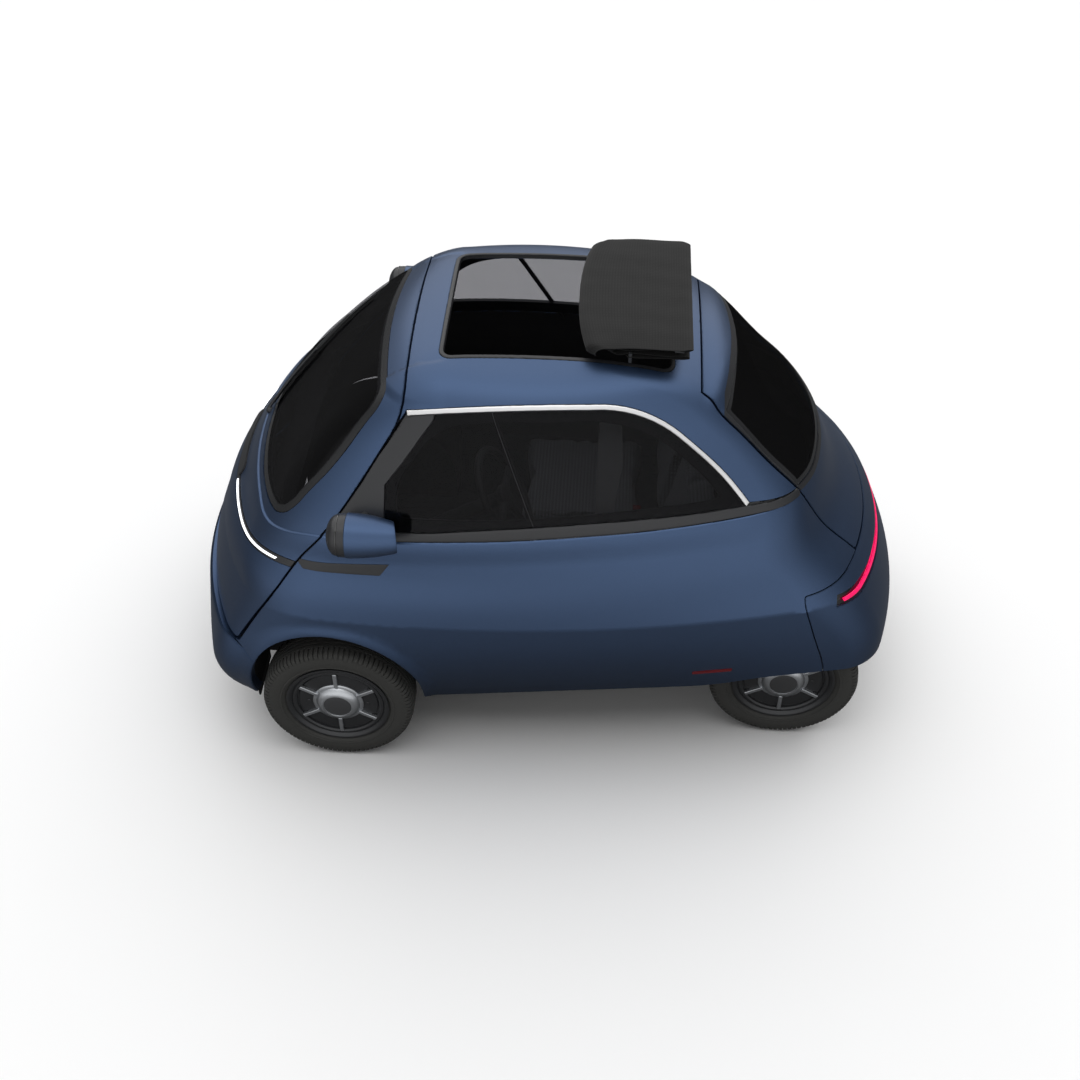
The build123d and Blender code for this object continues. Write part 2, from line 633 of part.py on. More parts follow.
with BuildPart() as rear_axle:
    with Locations(Location((REAR_AXLE_X, 0, TYRE_R), (90, 0, 0))):
        Cylinder(AXLE_R, REAR_TRACK - 2 * AXLE_SHORT)
        Cylinder(SPINDLE_R, REAR_TRACK + 2 * SPINDLE_REACH)
    with Locations(*((BULKHEAD_X, side * TRAIL_Y, TYRE_R) for side in (-1, 1))):
        Box(REAR_AXLE_X - BULKHEAD_X, TRAIL_T, TRAIL_T, align=(Align.MIN, Align.CENTER, Align.CENTER))

TYRE_HALF = TYRE_W / 2
BEAD_Y = TYRE_HALF - 16.5
BORE_R = SPINDLE_R + RUNNING_GAP
# Half of the tyre's section: in from its widest point, and the share of the height from bead to tread
TYRE_SECTION = [(16.5, 0.0), (15.5, 0.184), (3.0, 0.357), (0.0, 0.571), (4.0, 0.837), (20.5, 0.97)]


def tyre_lines():
    """The section of a tyre: width along the first axis, radius along the second."""
    right = [(TYRE_HALF - y, RIM_SEAT_R + share * (TYRE_R - RIM_SEAT_R)) for y, share in TYRE_SECTION]
    left = [(-y, r) for y, r in right]
    Line(left[0], right[0])
    Line(right[0], right[1])
    ThreePointArc(right[1], right[2], right[3])
    ThreePointArc(right[3], right[4], right[5])
    ThreePointArc(right[5], (0, TYRE_R), left[5])
    ThreePointArc(left[5], left[4], left[3])
    ThreePointArc(left[3], left[2], left[1])
    Line(left[1], left[0])


# The rim's section: a flanged barrel with a thin disc near its outer side, and a hub with a blind bore
FLANGE_Y = BEAD_Y + 8
RIM_SECTION = [(-FLANGE_Y, RIM_LIP_R - 5), (-FLANGE_Y, RIM_LIP_R), (-BEAD_Y - 1.5, RIM_LIP_R)]
RIM_SECTION += [(-BEAD_Y, RIM_SEAT_R), (BEAD_Y, RIM_SEAT_R), (BEAD_Y + 1.5, RIM_LIP_R), (FLANGE_Y, RIM_LIP_R)]
RIM_SECTION += [(FLANGE_Y, RIM_LIP_R - 9), (52, RIM_SEAT_R - 10), (40, RIM_SEAT_R - 16), (40, 60), (52, 54)]
RIM_SECTION += [(56, 48), (56, 0), (36, 0), (36, BORE_R), (2, BORE_R), (2, 50), (28, 56)]
RIM_SECTION += [(28, RIM_SEAT_R - 16), (-52, RIM_SEAT_R - 12)]


def wheel_plane(x, y):
    """Section plane of the wheel at x, y: first axis outward along the axle, second up."""
    return Plane(origin=(x, y, TYRE_R), x_dir=(0, 1 if y > 0 else -1, 0), z_dir=(1 if y > 0 else -1, 0, 0))


with BuildPart() as tyre_front_left:
    with BuildSketch(wheel_plane(FRONT_AXLE_X, -FRONT_TRACK / 2)):
        with BuildLine():
            tyre_lines()
        make_face()
    revolve(axis=Axis((FRONT_AXLE_X, 0, TYRE_R), (0, 1, 0)))
with BuildPart() as rim_front_left:
    with BuildSketch(wheel_plane(FRONT_AXLE_X, -FRONT_TRACK / 2)):
        with BuildLine():
            Polyline(*RIM_SECTION, close=True)
        make_face()
    revolve(axis=Axis((FRONT_AXLE_X, 0, TYRE_R), (0, 1, 0)))
with BuildPart() as tyre_rear_left:
    with BuildSketch(wheel_plane(REAR_AXLE_X, -REAR_TRACK / 2)):
        with BuildLine():
            tyre_lines()
        make_face()
    revolve(axis=Axis((REAR_AXLE_X, 0, TYRE_R), (0, 1, 0)))
with BuildPart() as rim_rear_left:
    with BuildSketch(wheel_plane(REAR_AXLE_X, -REAR_TRACK / 2)):
        with BuildLine():
            Polyline(*RIM_SECTION, close=True)
        make_face()
    revolve(axis=Axis((REAR_AXLE_X, 0, TYRE_R), (0, 1, 0)))

# ---------------------------------------------------------------- mirror pods with the headlamps
pod_plane = Plane(origin=POD, x_dir=(1, 0, 0), z_dir=(0, -1, 0))
pod_axis = Axis(POD, (1, 0, 0))
with BuildPart() as mirror_pod_left:
    with BuildSketch(pod_plane):
        with BuildLine():
            Line((-POD_FRONT, 0), (-POD_FRONT, POD_FRONT_R))
            ThreePointArc((-POD_FRONT, POD_FRONT_R), POD_MIDDLE, (POD_REAR, POD_REAR_R))
            Line((POD_REAR, POD_REAR_R), (POD_REAR, 0))
            Line((POD_REAR, 0), (-POD_FRONT, 0))
        make_face()
    revolve(axis=pod_axis)
    cut(arm.part)
with BuildPart() as headlamp_left:
    with BuildSketch(pod_plane):
        middle = LENS_R * sqrt(0.5)
        with BuildLine():
            Line((-POD_FRONT, 0), (-POD_FRONT, LENS_R))
            ThreePointArc((-POD_FRONT, LENS_R), (-POD_FRONT - middle, middle), (-POD_FRONT - LENS_R, 0))
            Line((-POD_FRONT - LENS_R, 0), (-POD_FRONT, 0))
        make_face()
    revolve(axis=pod_axis)

# ---------------------------------------------------------------- the right side
with BuildPart() as wheel_housing_right:
    mirror(wheel_housing_left.part, about=Plane.XZ)
with BuildPart() as side_window_front_right:
    mirror(side_window_front_left.part, about=Plane.XZ)
with BuildPart() as side_window_rear_right:
    mirror(side_window_rear_left.part, about=Plane.XZ)
with BuildPart() as belt_trim_right:
    mirror(belt_trim_left.part, about=Plane.XZ)
with BuildPart() as window_chrome_right:
    mirror(window_chrome_left.part, about=Plane.XZ)
with BuildPart() as mirror_pod_right:
    mirror(mirror_pod_left.part, about=Plane.XZ)
with BuildPart() as headlamp_right:
    mirror(headlamp_left.part, about=Plane.XZ)
with BuildPart() as knuckle_right:
    mirror(knuckle_left.part, about=Plane.XZ)
with BuildPart() as tyre_front_right:
    mirror(tyre_front_left.part, about=Plane.XZ)
with BuildPart() as rim_front_right:
    mirror(rim_front_left.part, about=Plane.XZ)
with BuildPart() as tyre_rear_right:
    mirror(tyre_rear_left.part, about=Plane.XZ)
with BuildPart() as rim_rear_right:
    mirror(rim_rear_left.part, about=Plane.XZ)

# ---------------------------------------------------------------- files
body_shell.part.label = "body_shell"
export_step(body_shell.part, "parts/body_shell.step")
front_bumper.part.label = "front_bumper"
export_step(front_bumper.part, "parts/front_bumper.step")
rear_bumper.part.label = "rear_bumper"
export_step(rear_bumper.part, "parts/rear_bumper.step")
tail_light_bar.part.label = "tail_light_bar"
export_step(tail_light_bar.part, "parts/tail_light_bar.step")
front_door.part.label = "front_door"
export_step(front_door.part, "parts/front_door.step")
windshield.part.label = "windshield"
export_step(windshield.part, "parts/windshield.step")
door_dash.part.label = "door_dash"
export_step(door_dash.part, "parts/door_dash.step")
front_light_bar.part.label = "front_light_bar"
export_step(front_light_bar.part, "parts/front_light_bar.step")
wiper.part.label = "wiper"
export_step(wiper.part, "parts/wiper.step")
hatch_panel.part.label = "hatch_panel"
export_step(hatch_panel.part, "parts/hatch_panel.step")
rear_glass.part.label = "rear_glass"
export_step(rear_glass.part, "parts/rear_glass.step")
floor_pan.part.label = "floor_pan"
export_step(floor_pan.part, "parts/floor_pan.step")
parcel_shelf.part.label = "parcel_shelf"
export_step(parcel_shelf.part, "parts/parcel_shelf.step")
soft_top.part.label = "soft_top"
export_step(soft_top.part, "parts/soft_top.step")
seat_cushion.part.label = "seat_cushion"
export_step(seat_cushion.part, "parts/seat_cushion.step")
seat_back.part.label = "seat_back"
export_step(seat_back.part, "parts/seat_back.step")
battery_block.part.label = "battery_block"
export_step(battery_block.part, "parts/battery_block.step")
motor_block.part.label = "motor_block"
export_step(motor_block.part, "parts/motor_block.step")
steering_wheel.part.label = "steering_wheel"
export_step(steering_wheel.part, "parts/steering_wheel.step")
steering_column.part.label = "steering_column"
export_step(steering_column.part, "parts/steering_column.step")
front_suspension.part.label = "front_suspension"
export_step(front_suspension.part, "parts/front_suspension.step")
rear_axle.part.label = "rear_axle"
export_step(rear_axle.part, "parts/rear_axle.step")
wheel_housing_left.part.label = "wheel_housing_left"
export_step(wheel_housing_left.part, "parts/wheel_housing_left.step")
wheel_housing_right.part.label = "wheel_housing_right"
export_step(wheel_housing_right.part, "parts/wheel_housing_right.step")
side_window_front_left.part.label = "side_window_front_left"
export_step(side_window_front_left.part, "parts/side_window_front_left.step")
side_window_front_right.part.label = "side_window_front_right"
export_step(side_window_front_right.part, "parts/side_window_front_right.step")
side_window_rear_left.part.label = "side_window_rear_left"
export_step(side_window_rear_left.part, "parts/side_window_rear_left.step")
side_window_rear_right.part.label = "side_window_rear_right"
export_step(side_window_rear_right.part, "parts/side_window_rear_right.step")
belt_trim_left.part.label = "belt_trim_left"
export_step(belt_trim_left.part, "parts/belt_trim_left.step")
belt_trim_right.part.label = "belt_trim_right"
export_step(belt_trim_right.part, "parts/belt_trim_right.step")
window_chrome_left.part.label = "window_chrome_left"
export_step(window_chrome_left.part, "parts/window_chrome_left.step")
window_chrome_right.part.label = "window_chrome_right"
export_step(window_chrome_right.part, "parts/window_chrome_right.step")
mirror_pod_left.part.label = "mirror_pod_left"
export_step(mirror_pod_left.part, "parts/mirror_pod_left.step")
mirror_pod_right.part.label = "mirror_pod_right"
export_step(mirror_pod_right.part, "parts/mirror_pod_right.step")
headlamp_left.part.label = "headlamp_left"
export_step(headlamp_left.part, "parts/headlamp_left.step")
headlamp_right.part.label = "headlamp_right"
export_step(headlamp_right.part, "parts/headlamp_right.step")
knuckle_left.part.label = "knuckle_left"
export_step(knuckle_left.part, "parts/knuckle_left.step")
knuckle_right.part.label = "knuckle_right"
export_step(knuckle_right.part, "parts/knuckle_right.step")
tyre_front_left.part.label = "tyre_front_left"
export_step(tyre_front_left.part, "parts/tyre_front_left.step")
tyre_front_right.part.label = "tyre_front_right"
export_step(tyre_front_right.part, "parts/tyre_front_right.step")
rim_front_left.part.label = "rim_front_left"
export_step(rim_front_left.part, "parts/rim_front_left.step")
rim_front_right.part.label = "rim_front_right"
export_step(rim_front_right.part, "parts/rim_front_right.step")
tyre_rear_left.part.label = "tyre_rear_left"
export_step(tyre_rear_left.part, "parts/tyre_rear_left.step")
tyre_rear_right.part.label = "tyre_rear_right"
export_step(tyre_rear_right.part, "parts/tyre_rear_right.step")
rim_rear_left.part.label = "rim_rear_left"
export_step(rim_rear_left.part, "parts/rim_rear_left.step")
rim_rear_right.part.label = "rim_rear_right"
export_step(rim_rear_right.part, "parts/rim_rear_right.step")
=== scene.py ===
"""Egg-shaped two-seat electric microcar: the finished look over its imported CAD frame.

Outlines and forms are in millimetres in the car's own frame: +X runs to the tail, +Y is the
car's right side, +Z is up and the origin is on the ground. Meshes are written in metres.
"""

import math
from collections import namedtuple

import bmesh
import bpy
import numpy as np
from mathutils import Matrix, Vector


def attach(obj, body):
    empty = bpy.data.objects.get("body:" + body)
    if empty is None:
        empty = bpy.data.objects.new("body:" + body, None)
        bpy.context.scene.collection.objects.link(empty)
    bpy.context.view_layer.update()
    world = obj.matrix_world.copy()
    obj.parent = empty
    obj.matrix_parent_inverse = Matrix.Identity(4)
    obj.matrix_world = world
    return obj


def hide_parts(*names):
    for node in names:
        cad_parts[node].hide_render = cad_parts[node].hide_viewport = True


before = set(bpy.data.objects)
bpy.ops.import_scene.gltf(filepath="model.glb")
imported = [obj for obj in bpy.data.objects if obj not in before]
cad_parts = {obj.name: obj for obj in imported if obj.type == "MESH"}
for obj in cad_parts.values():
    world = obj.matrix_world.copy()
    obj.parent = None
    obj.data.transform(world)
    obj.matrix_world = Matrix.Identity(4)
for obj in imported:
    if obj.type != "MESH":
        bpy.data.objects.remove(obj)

bl_info = {
    "name": "Microcar builder",
    "version": (1, 0, 0),
    "blender": (4, 5, 0),
    "location": "View3D > Sidebar > Microcar",
    "description": "Builds an egg-shaped electric microcar and its studio",
    "category": "Object",
}

MM = 0.001

# ---------------------------------------------------------------- body form
# Plan outlines of the body, bottom to roof. Each is a nose arc, a tail arc, two side arcs through
# (x1, w1), (x2, w2), (x3, w3), and a corner arc between each of them.
Ring = namedtuple("Ring", "z nose tail nose_r tail_r front_r rear_r x1 w1 x2 w2 x3 w3")
RINGS = [
    Ring(200, -1205, 1207, 1500, 1400, 230, 160, -956, 638, -26, 598, 980, 538),
    Ring(330, -1232, 1243, 1900, 1400, 185, 180, -956, 684, -26, 658, 980, 560),
    Ring(450, -1232, 1252, 1600, 1400, 210, 190, -926, 710, -26, 700, 980, 570),
    Ring(580, -1220, 1212, 1150, 1250, 290, 225, -876, 717, -26, 727, 950, 577),
    Ring(700, -1177, 1160, 1070, 1050, 320, 290, -816, 717, -26, 735, 874, 590),
    Ring(790, -1142, 1082, 1090, 960, 355, 300, -766, 696, -26, 718, 800, 572),
    Ring(880, -1075, 1002, 1120, 880, 370, 290, -700, 668, -26, 694, 740, 552),
    Ring(1045, -946, 920, 1200, 790, 340, 250, -526, 640, 24, 640, 629, 498),
    Ring(1150, -852, 826, 1100, 750, 310, 230, -476, 580, 24, 594, 524, 470),
    Ring(1300, -701, 686, 1000, 700, 250, 200, -406, 500, 24, 526, 424, 437),
    Ring(1400, -566, 564, 900, 680, 200, 190, -326, 450, 24, 472, 324, 410),
    Ring(1450, -484, 459, 850, 640, 170, 160, -276, 402, 24, 420, 274, 375),
    Ring(1475, -408, 329, 800, 600, 140, 130, -226, 345, 24, 360, 224, 325),
    Ring(1495, -306, 204, 700, 500, 110, 100, -176, 255, 24, 268, 174, 240),
]
CREASE = 4
LEDGE = 22.0


def circle_through(p, q, r):
    """Centre and radius of the circle through three points."""
    turn = 2 * (p[0] * (q[1] - r[1]) + q[0] * (r[1] - p[1]) + r[0] * (p[1] - q[1]))
    squares = [a * a + b * b for a, b in (p, q, r)]
    x = (squares[0] * (q[1] - r[1]) + squares[1] * (r[1] - p[1]) + squares[2] * (p[1] - q[1])) / turn
    y = (squares[0] * (r[0] - q[0]) + squares[1] * (p[0] - r[0]) + squares[2] * (q[0] - p[0])) / turn
    return (x, y), math.hypot(p[0] - x, p[1] - y)


def corner_centres(end, end_r, side, side_r):
    """The points at one distance from an end arc's centre and another from a side arc's."""
    dx, dy = side[0] - end[0], side[1] - end[1]
    span = math.hypot(dx, dy)
    along = (end_r**2 - side_r**2 + span**2) / (2 * span)
    off = math.sqrt(end_r**2 - along**2)
    return [
        (end[0] + (along * dx + s * off * dy) / span, end[1] + (along * dy - s * off * dx) / span)
        for s in (-1, 1)
    ]


def heading(centre, point):
    """The direction from centre to point, as an angle."""
    return math.atan2(point[1] - centre[1], point[0] - centre[0])


def half_arcs(ring):
    """Centre x, centre y, radius, first and last angle of the five arcs of a ring's left half."""
    side, side_r = circle_through((ring.x1, -ring.w1), (ring.x2, -ring.w2), (ring.x3, -ring.w3))
    nose, tail = (ring.nose + ring.nose_r, 0.0), (ring.tail - ring.tail_r, 0.0)
    fronts = corner_centres(nose, ring.nose_r - ring.front_r, side, side_r - ring.front_r)
    rears = corner_centres(tail, ring.tail_r - ring.rear_r, side, side_r - ring.rear_r)
    front = min(c for c in fronts if c[1] < 0)
    rear = max(c for c in rears if c[1] < 0)
    turns = [heading(nose, front), heading(side, front), heading(side, rear), heading(tail, rear)]
    return [
        (*nose, ring.nose_r, -math.pi, turns[0]), (*front, ring.front_r, turns[0], turns[1]),
        (*side, side_r, turns[1], turns[2]), (*rear, ring.rear_r, turns[2], turns[3]),
        (*tail, ring.tail_r, turns[3], 0.0)
    ]


LOW_RINGS = [ring._replace(nose=ring.nose - LEDGE) for ring in RINGS[:CREASE]]
BODY_ARCS = np.array([half_arcs(ring) for ring in RINGS])
BUMPER_ARCS = np.array([half_arcs(ring) for ring in [*LOW_RINGS, *RINGS[CREASE:]]])
HEIGHTS = np.array([float(ring.z) for ring in RINGS])
REACHES = np.array([(ring.tail - ring.nose) / 2 for ring in RINGS])
KNOTS = np.concatenate([[0.0], np.cumsum(np.hypot(np.diff(HEIGHTS), np.diff(REACHES)))])
AROUND = BODY_ARCS.shape[1]


def spline_weights(knots, t):
    """Weight of each knot's value in the natural cubic spline at t."""
    count = len(knots)
    h = np.diff(knots)
    left, right = np.eye(count), np.zeros((count, count))
    for k in range(1, count - 1):
        left[k, k - 1 : k + 2] = h[k - 1], 2 * (h[k - 1] + h[k]), h[k]
        right[k, k - 1] += 6 / h[k - 1]
        right[k, k] -= 6 / h[k - 1] + 6 / h[k]
        right[k, k + 1] += 6 / h[k]
    bend = np.linalg.solve(left, right)
    cell = np.clip(np.searchsorted(knots, t, side="right") - 1, 0, count - 2)
    wide = h[cell]
    b = (t - knots[cell]) / wide
    a = 1 - b
    weights = np.zeros((len(t), count))
    rows = np.arange(len(t))
    weights[rows, cell] += a
    weights[rows, cell + 1] += b
    weights += ((a**3 - a) * wide**2 / 6)[:, None] * bend[cell]
    weights += ((b**3 - b) * wide**2 / 6)[:, None] * bend[cell + 1]
    return weights


def egg(u, t, arcs=BODY_ARCS):
    """Points of the plain body form: u runs round its left half by arcs, t up its profile."""
    weights = np.zeros((len(t), len(RINGS)))
    low = t <= KNOTS[CREASE]
    weights[low, : CREASE + 1] = spline_weights(KNOTS[: CREASE + 1], t[low])
    weights[~low, CREASE:] = spline_weights(KNOTS[CREASE:], t[~low])
    arc = np.clip(u.astype(int), 0, AROUND - 1)
    share = u - arc
    cx, cy, radius, first, last = arcs[:, arc, :].transpose(2, 0, 1)
    angle = first + (last - first) * share
    x = ((cx + radius * np.cos(angle)) * weights.T).sum(0)
    y = ((cy + radius * np.sin(angle)) * weights.T).sum(0)
    return np.stack([x, y, weights @ HEIGHTS], 1)


def with_normals(surface, u, t, du=1e-3, dt=0.4):
    """Points of a surface and its outward normals, from small steps either way."""
    u0, u1 = np.clip(u - du, 0, AROUND), np.clip(u + du, 0, AROUND)
    below = (t <= KNOTS[CREASE]) & (t > KNOTS[CREASE] - dt)
    above = (t > KNOTS[CREASE]) & (t < KNOTS[CREASE] + dt)
    t0 = np.where(above, t, np.clip(t - dt, 0, KNOTS[-1]))
    t1 = np.where(below, t, np.clip(t + dt, 0, KNOTS[-1]))
    normal = np.cross(surface(u1, t) - surface(u0, t), surface(u, t1) - surface(u, t0))
    normal[(u <= 0) | (u >= AROUND), 1] = 0.0
    normal /= np.linalg.norm(normal, axis=1, keepdims=True)
    return surface(u, t), normal


def unit_rows(rows):
    """Each row at length 1; a row of zeros stays as it is."""
    return rows / np.maximum(np.linalg.norm(rows, axis=1, keepdims=True), 1e-12)


def ramp(value, start, end):
    """0 before start, 1 after end, and a smooth rise between them."""
    share = np.clip((value - start) / (end - start), 0, 1)
    return share * share * (3 - 2 * share)


# ---------------------------------------------------------------- lines on the body
FAR = 1500.0
GAP = 6.0
SEAM = 3.0
DOOR_GAP = 7.5
SEAT_GAP = 1.5
SIDE, END, PLAN = (0, 2), (1, 2), (0, 1)
DOOR_EDGE = [(-480, 1600), (-428, 1385), (-578, 1164), (-690, 1020), (-801, 888), (-921, 718)]
DOOR_LOW = 522.0
DOOR_CORNER_X = -1044.0
DOOR_ZONE = [*DOOR_EDGE, (DOOR_CORNER_X, DOOR_LOW), (-FAR, DOOR_LOW), (-FAR, 1600)]
DOOR_CUT = [(x + DOOR_GAP, z) for x, z in DOOR_EDGE]
DOOR_CUT += [(DOOR_CORNER_X + DOOR_GAP, DOOR_LOW - DOOR_GAP), (-FAR, DOOR_LOW - DOOR_GAP), (-FAR, 1600)]
BODY_SIDE = [(x + DOOR_GAP, z) for x, z in DOOR_EDGE]
BODY_SIDE += [(DOOR_CORNER_X + DOOR_GAP, 100), (FAR, 100), (FAR, 1700), (-480, 1700)]
SCREEN = [(0, 1427), (-191, 1419), (-350, 1397), (-405, 1356), (-460, 1248), (-508, 1129), (-536, 1045)]
SCREEN += [(-530, 1000), (-500, 977), (-340, 972), (-219, 979), (0, 990)]
REAR_SCREEN = [(0, 1378), (-130, 1374), (-240, 1358), (-332, 1333), (-346, 1205), (-358, 1058)]
REAR_SCREEN += [(-259, 1045), (0, 1052)]
TAILGATE = [(0, 1600), (-314, 1600), (-314, 1398), (-350, 1329), (-351, 1205), (-369, 1045)]
TAILGATE += [(-337, 889), (-323, 758), (0, 758)]
TAILGATE_X = 489.0
NOSE_SEAM = [(-1048, DOOR_LOW - GAP), (-968, 462), (-968, 100)]
NOSE_ZONE = [(-FAR, DOOR_LOW - GAP), *NOSE_SEAM, (-FAR, 100)]
NOSE_CUT = [(-FAR, DOOR_LOW), *((x + SEAM, z + SEAM / 2) for x, z in NOSE_SEAM), (-FAR, 100)]
TAIL_SEAM = [(870, 752), (875, 724), (922, 580), (981, 412), (985, 100)]
TAIL_ZONE = [*TAIL_SEAM, (FAR, 100), (FAR, 752)]
TAIL_CUT = [(870 - SEAM, 752 + SEAM), *((x - SEAM, z) for x, z in TAIL_SEAM[1:])]
TAIL_CUT += [(FAR, 100), (FAR, 752 + SEAM)]
BELT_LOW = [(830, 1033), (712, 1038), (471, 1040), (148, 1041), (-2, 1037), (-246, 1027), (-429, 1016)]
BELT_LOW += [(-684, 998)]
BELT_HIGH = [(-684, 1028), (-350, 1048), (-246, 1059), (-130, 1068), (20, 1075), (147, 1078), (308, 1076)]
BELT_HIGH += [(469, 1070), (640, 1065), (830, 1055)]
COWL = [(0, 962), (-204, 959), (-364, 953), (-470, 942), (-520, 944), (-569, 961), (-625, 997), (-760, 1060)]
COWL += [(-760, 1600), (0, 1600)]
SAIL = [(-684, 1026), (-430, 1356), (-343, 1385), (-343, 1366), (-446, 1229), (-498, 1168), (-498, 1026)]
GLASS_AREA = [(-496.5, 1000), (-496.5, 1168), (-444.5, 1229), (-341.5, 1366), (-341.5, 1500), (900, 1500)]
GLASS_AREA += [(900, 1000)]
CLEAR_AREA = [(-460, 1085), (-460, 1185), (-325, 1350), (-150, 1378), (150, 1382), (285, 1350), (385, 1290)]
CLEAR_AREA += [(500, 1178), (575, 1098), (247, 1105), (-129, 1093)]
BAR_HIGH = [(0, 850), (-200, 850), (-436, 852), (-532, 865), (-604, 878), (-700, 898)]
BAR_LOW = [(-700, 874), (-604, 854), (-532, 841), (-436, 828), (-200, 826), (0, 826)]
LAMP = [(985, 686), (1400, 610), (1400, 646), (985, 720)]
LENS = [(1010, 690), (1400, 620), (1400, 636), (1010, 706)]
SILL = [(-1400, 236), (-1005, 236), (-405, 262), (-142, 300), (68, 322), (276, 336), (581, 343)]
SILL += [(758, 383), (1000, 396), (1400, 396), (1400, 100), (-1400, 100)]
HANDLE = [(0, 884), (-150, 882), (-172, 872), (-178, 858), (-178, 846), (-150, 842), (0, 842)]
BADGE = [(-800, 897), (-484, 931), (-516, 887), (-775, 872)]
REFLECTOR = [(518, 434), (654, 440), (654, 456), (518, 450)]
PANE_SPLIT = [(-246, 1600), (26, 956), (26, 900)]
PILLAR = [(182, 1395), (250, 1390), (262, 1230), (236, 1100), (226, 1020), (180, 1020), (176, 1200)]
FRONT_PANE = [(-600, 900), (-600, 1600), *((x - 1.5, z) for x, z in PANE_SPLIT)]
REAR_PANE = [(900, 900), (900, 1600), *((x + 1.5, z) for x, z in PANE_SPLIT)]
Strip = namedtuple("Strip", "x z nx nz")
STRIP = [
    Strip(-429, 1369, -0.19, 0.98),
    Strip(-137, 1411, -0.08, 1.00),
    Strip(150, 1414, 0.12, 0.99),
    Strip(310, 1380, 0.43, 0.90),
    Strip(421, 1310, 0.66, 0.75),
    Strip(545, 1190, 0.72, 0.69),
    Strip(654, 1068, 0.73, 0.68),
]
STRIP_HALF = 7.0
# Where along X, or up Z, a cut seen from the end or from above takes hold
AHEAD = (-2000, -300)
NOSE_ONLY = (-2000, -780)
BEHIND = (400, 2000)
ROOF_ONLY = (1330, 3000)
LIT = (-604.0, -184.0)
LIT_BREAK = (-396.0, -393.0)
ARCH = (-709.0, 340.0)
ARCH_R = 298.0
ARCH_HALF = 300.0
TOP_HALF = 320.0
SUNROOF = (-345.0, 400.0, 306.0, 45.0)


def both_sides(half):
    """(y, z) corners of one side from the centre out, closed by their mirror image."""
    return [*half, *((-y, z) for y, z in reversed(half) if y)]


def rounded(outline, sharp=10.0, smooth=0.45):
    """A closed outline with its corners eased: by up to sharp where it turns hard, and otherwise
    by a share of the sides that meet there."""
    corners = np.asarray(outline, float)
    eased = []
    for before, corner, after in zip(np.roll(corners, 1, 0), corners, np.roll(corners, -1, 0)):
        back, ahead = before - corner, after - corner
        short = min(np.linalg.norm(back), np.linalg.norm(ahead))
        back, ahead = back / np.linalg.norm(back), ahead / np.linalg.norm(ahead)
        hard = back @ ahead > -0.6
        length = min(sharp, smooth * short) if hard else smooth * short
        for share in np.linspace(0, 1, 7):
            eased.append(corner + length * ((1 - share) ** 2 * back + share**2 * ahead))
    return np.array(eased)


def mirrored_outline(half, **easing):
    """The eased outline made of one side and its mirror image."""
    return rounded(both_sides(half), **easing)


def arc_through(a, b, c, count=10):
    """Points along the arc from a by b to c."""
    centre, radius = circle_through(a, b, c)
    first, middle, last = (heading(centre, p) for p in (a, b, c))
    middle = first + (middle - first + math.pi) % (2 * math.pi) - math.pi
    last = middle + (last - middle + math.pi) % (2 * math.pi) - math.pi
    angles = np.linspace(first, last, count)
    return [(centre[0] + radius * math.cos(a), centre[1] + radius * math.sin(a)) for a in angles]


def strip_curve(shift):
    """Points along the bright strip moved outward by shift, front to rear."""
    points = [(p.x + shift * p.nx, p.z + shift * p.nz) for p in STRIP]
    curve = [points[0]]
    for k in (0, 2, 4):
        curve += arc_through(*points[k : k + 3])[1:]
    return curve


def below_strip(shift):
    """The side area from the bright strip, moved outward by shift, down past the waist."""
    return [*strip_curve(shift), (647, 990), (-700, 990), (-700, 1060)]


def arch_outline(radius, half):
    """The wheel arch seen from the side, closed well below the body."""
    x, z = ARCH
    top = [(x + radius * math.cos(a), z + radius * math.sin(a)) for a in np.linspace(0, math.pi, 49)]
    return [(x + half, 0), (x + half, z), *top, (x - half, z), (x - half, 0)]


def round_rectangle(x, y, radius, count=9):
    """A rectangle with round corners, from its (low, high) pairs."""
    points = []
    for cx, cy, start in (
        (x[1] - radius, y[1] - radius, 0.0),
        (x[0] + radius, y[1] - radius, 0.5),
        (x[0] + radius, y[0] + radius, 1.0),
        (x[1] - radius, y[0] + radius, 1.5),
    ):
        for angle in np.linspace(start, start + 0.5, count) * math.pi:
            points.append((cx + radius * math.cos(angle), cy + radius * math.sin(angle)))
    return points


# ---------------------------------------------------------------- trimmed surfaces
Cut = namedtuple("Cut", "axes outline keep low high", defaults=(-np.inf, np.inf))


def outline_distance(points, outline):
    """Signed distance of 2D points from a closed outline, below 0 inside, and its slope."""
    corners = np.asarray(outline, float)
    best = np.full(len(points), np.inf)
    slope = np.zeros((len(points), 2))
    inside = np.zeros(len(points), bool)
    for a, b in zip(corners, np.roll(corners, -1, 0)):
        edge = b - a
        if not edge.any():
            continue
        offset = points - a
        share = np.clip((offset @ edge) / (edge @ edge), 0, 1)
        gap = offset - share[:, None] * edge
        square = (gap**2).sum(1)
        nearer = square < best
        best[nearer] = square[nearer]
        slope[nearer] = gap[nearer]
        crosses = (a[1] > points[:, 1]) != (b[1] > points[:, 1])
        if a[1] != b[1]:
            inside ^= crosses & (points[:, 0] < a[0] + (points[:, 1] - a[1]) * edge[0] / edge[1])
    distance = np.sqrt(best)
    sign = np.where(inside, -1.0, 1.0)
    slope *= (sign / np.maximum(distance, 1e-9))[:, None]
    return distance * sign, slope


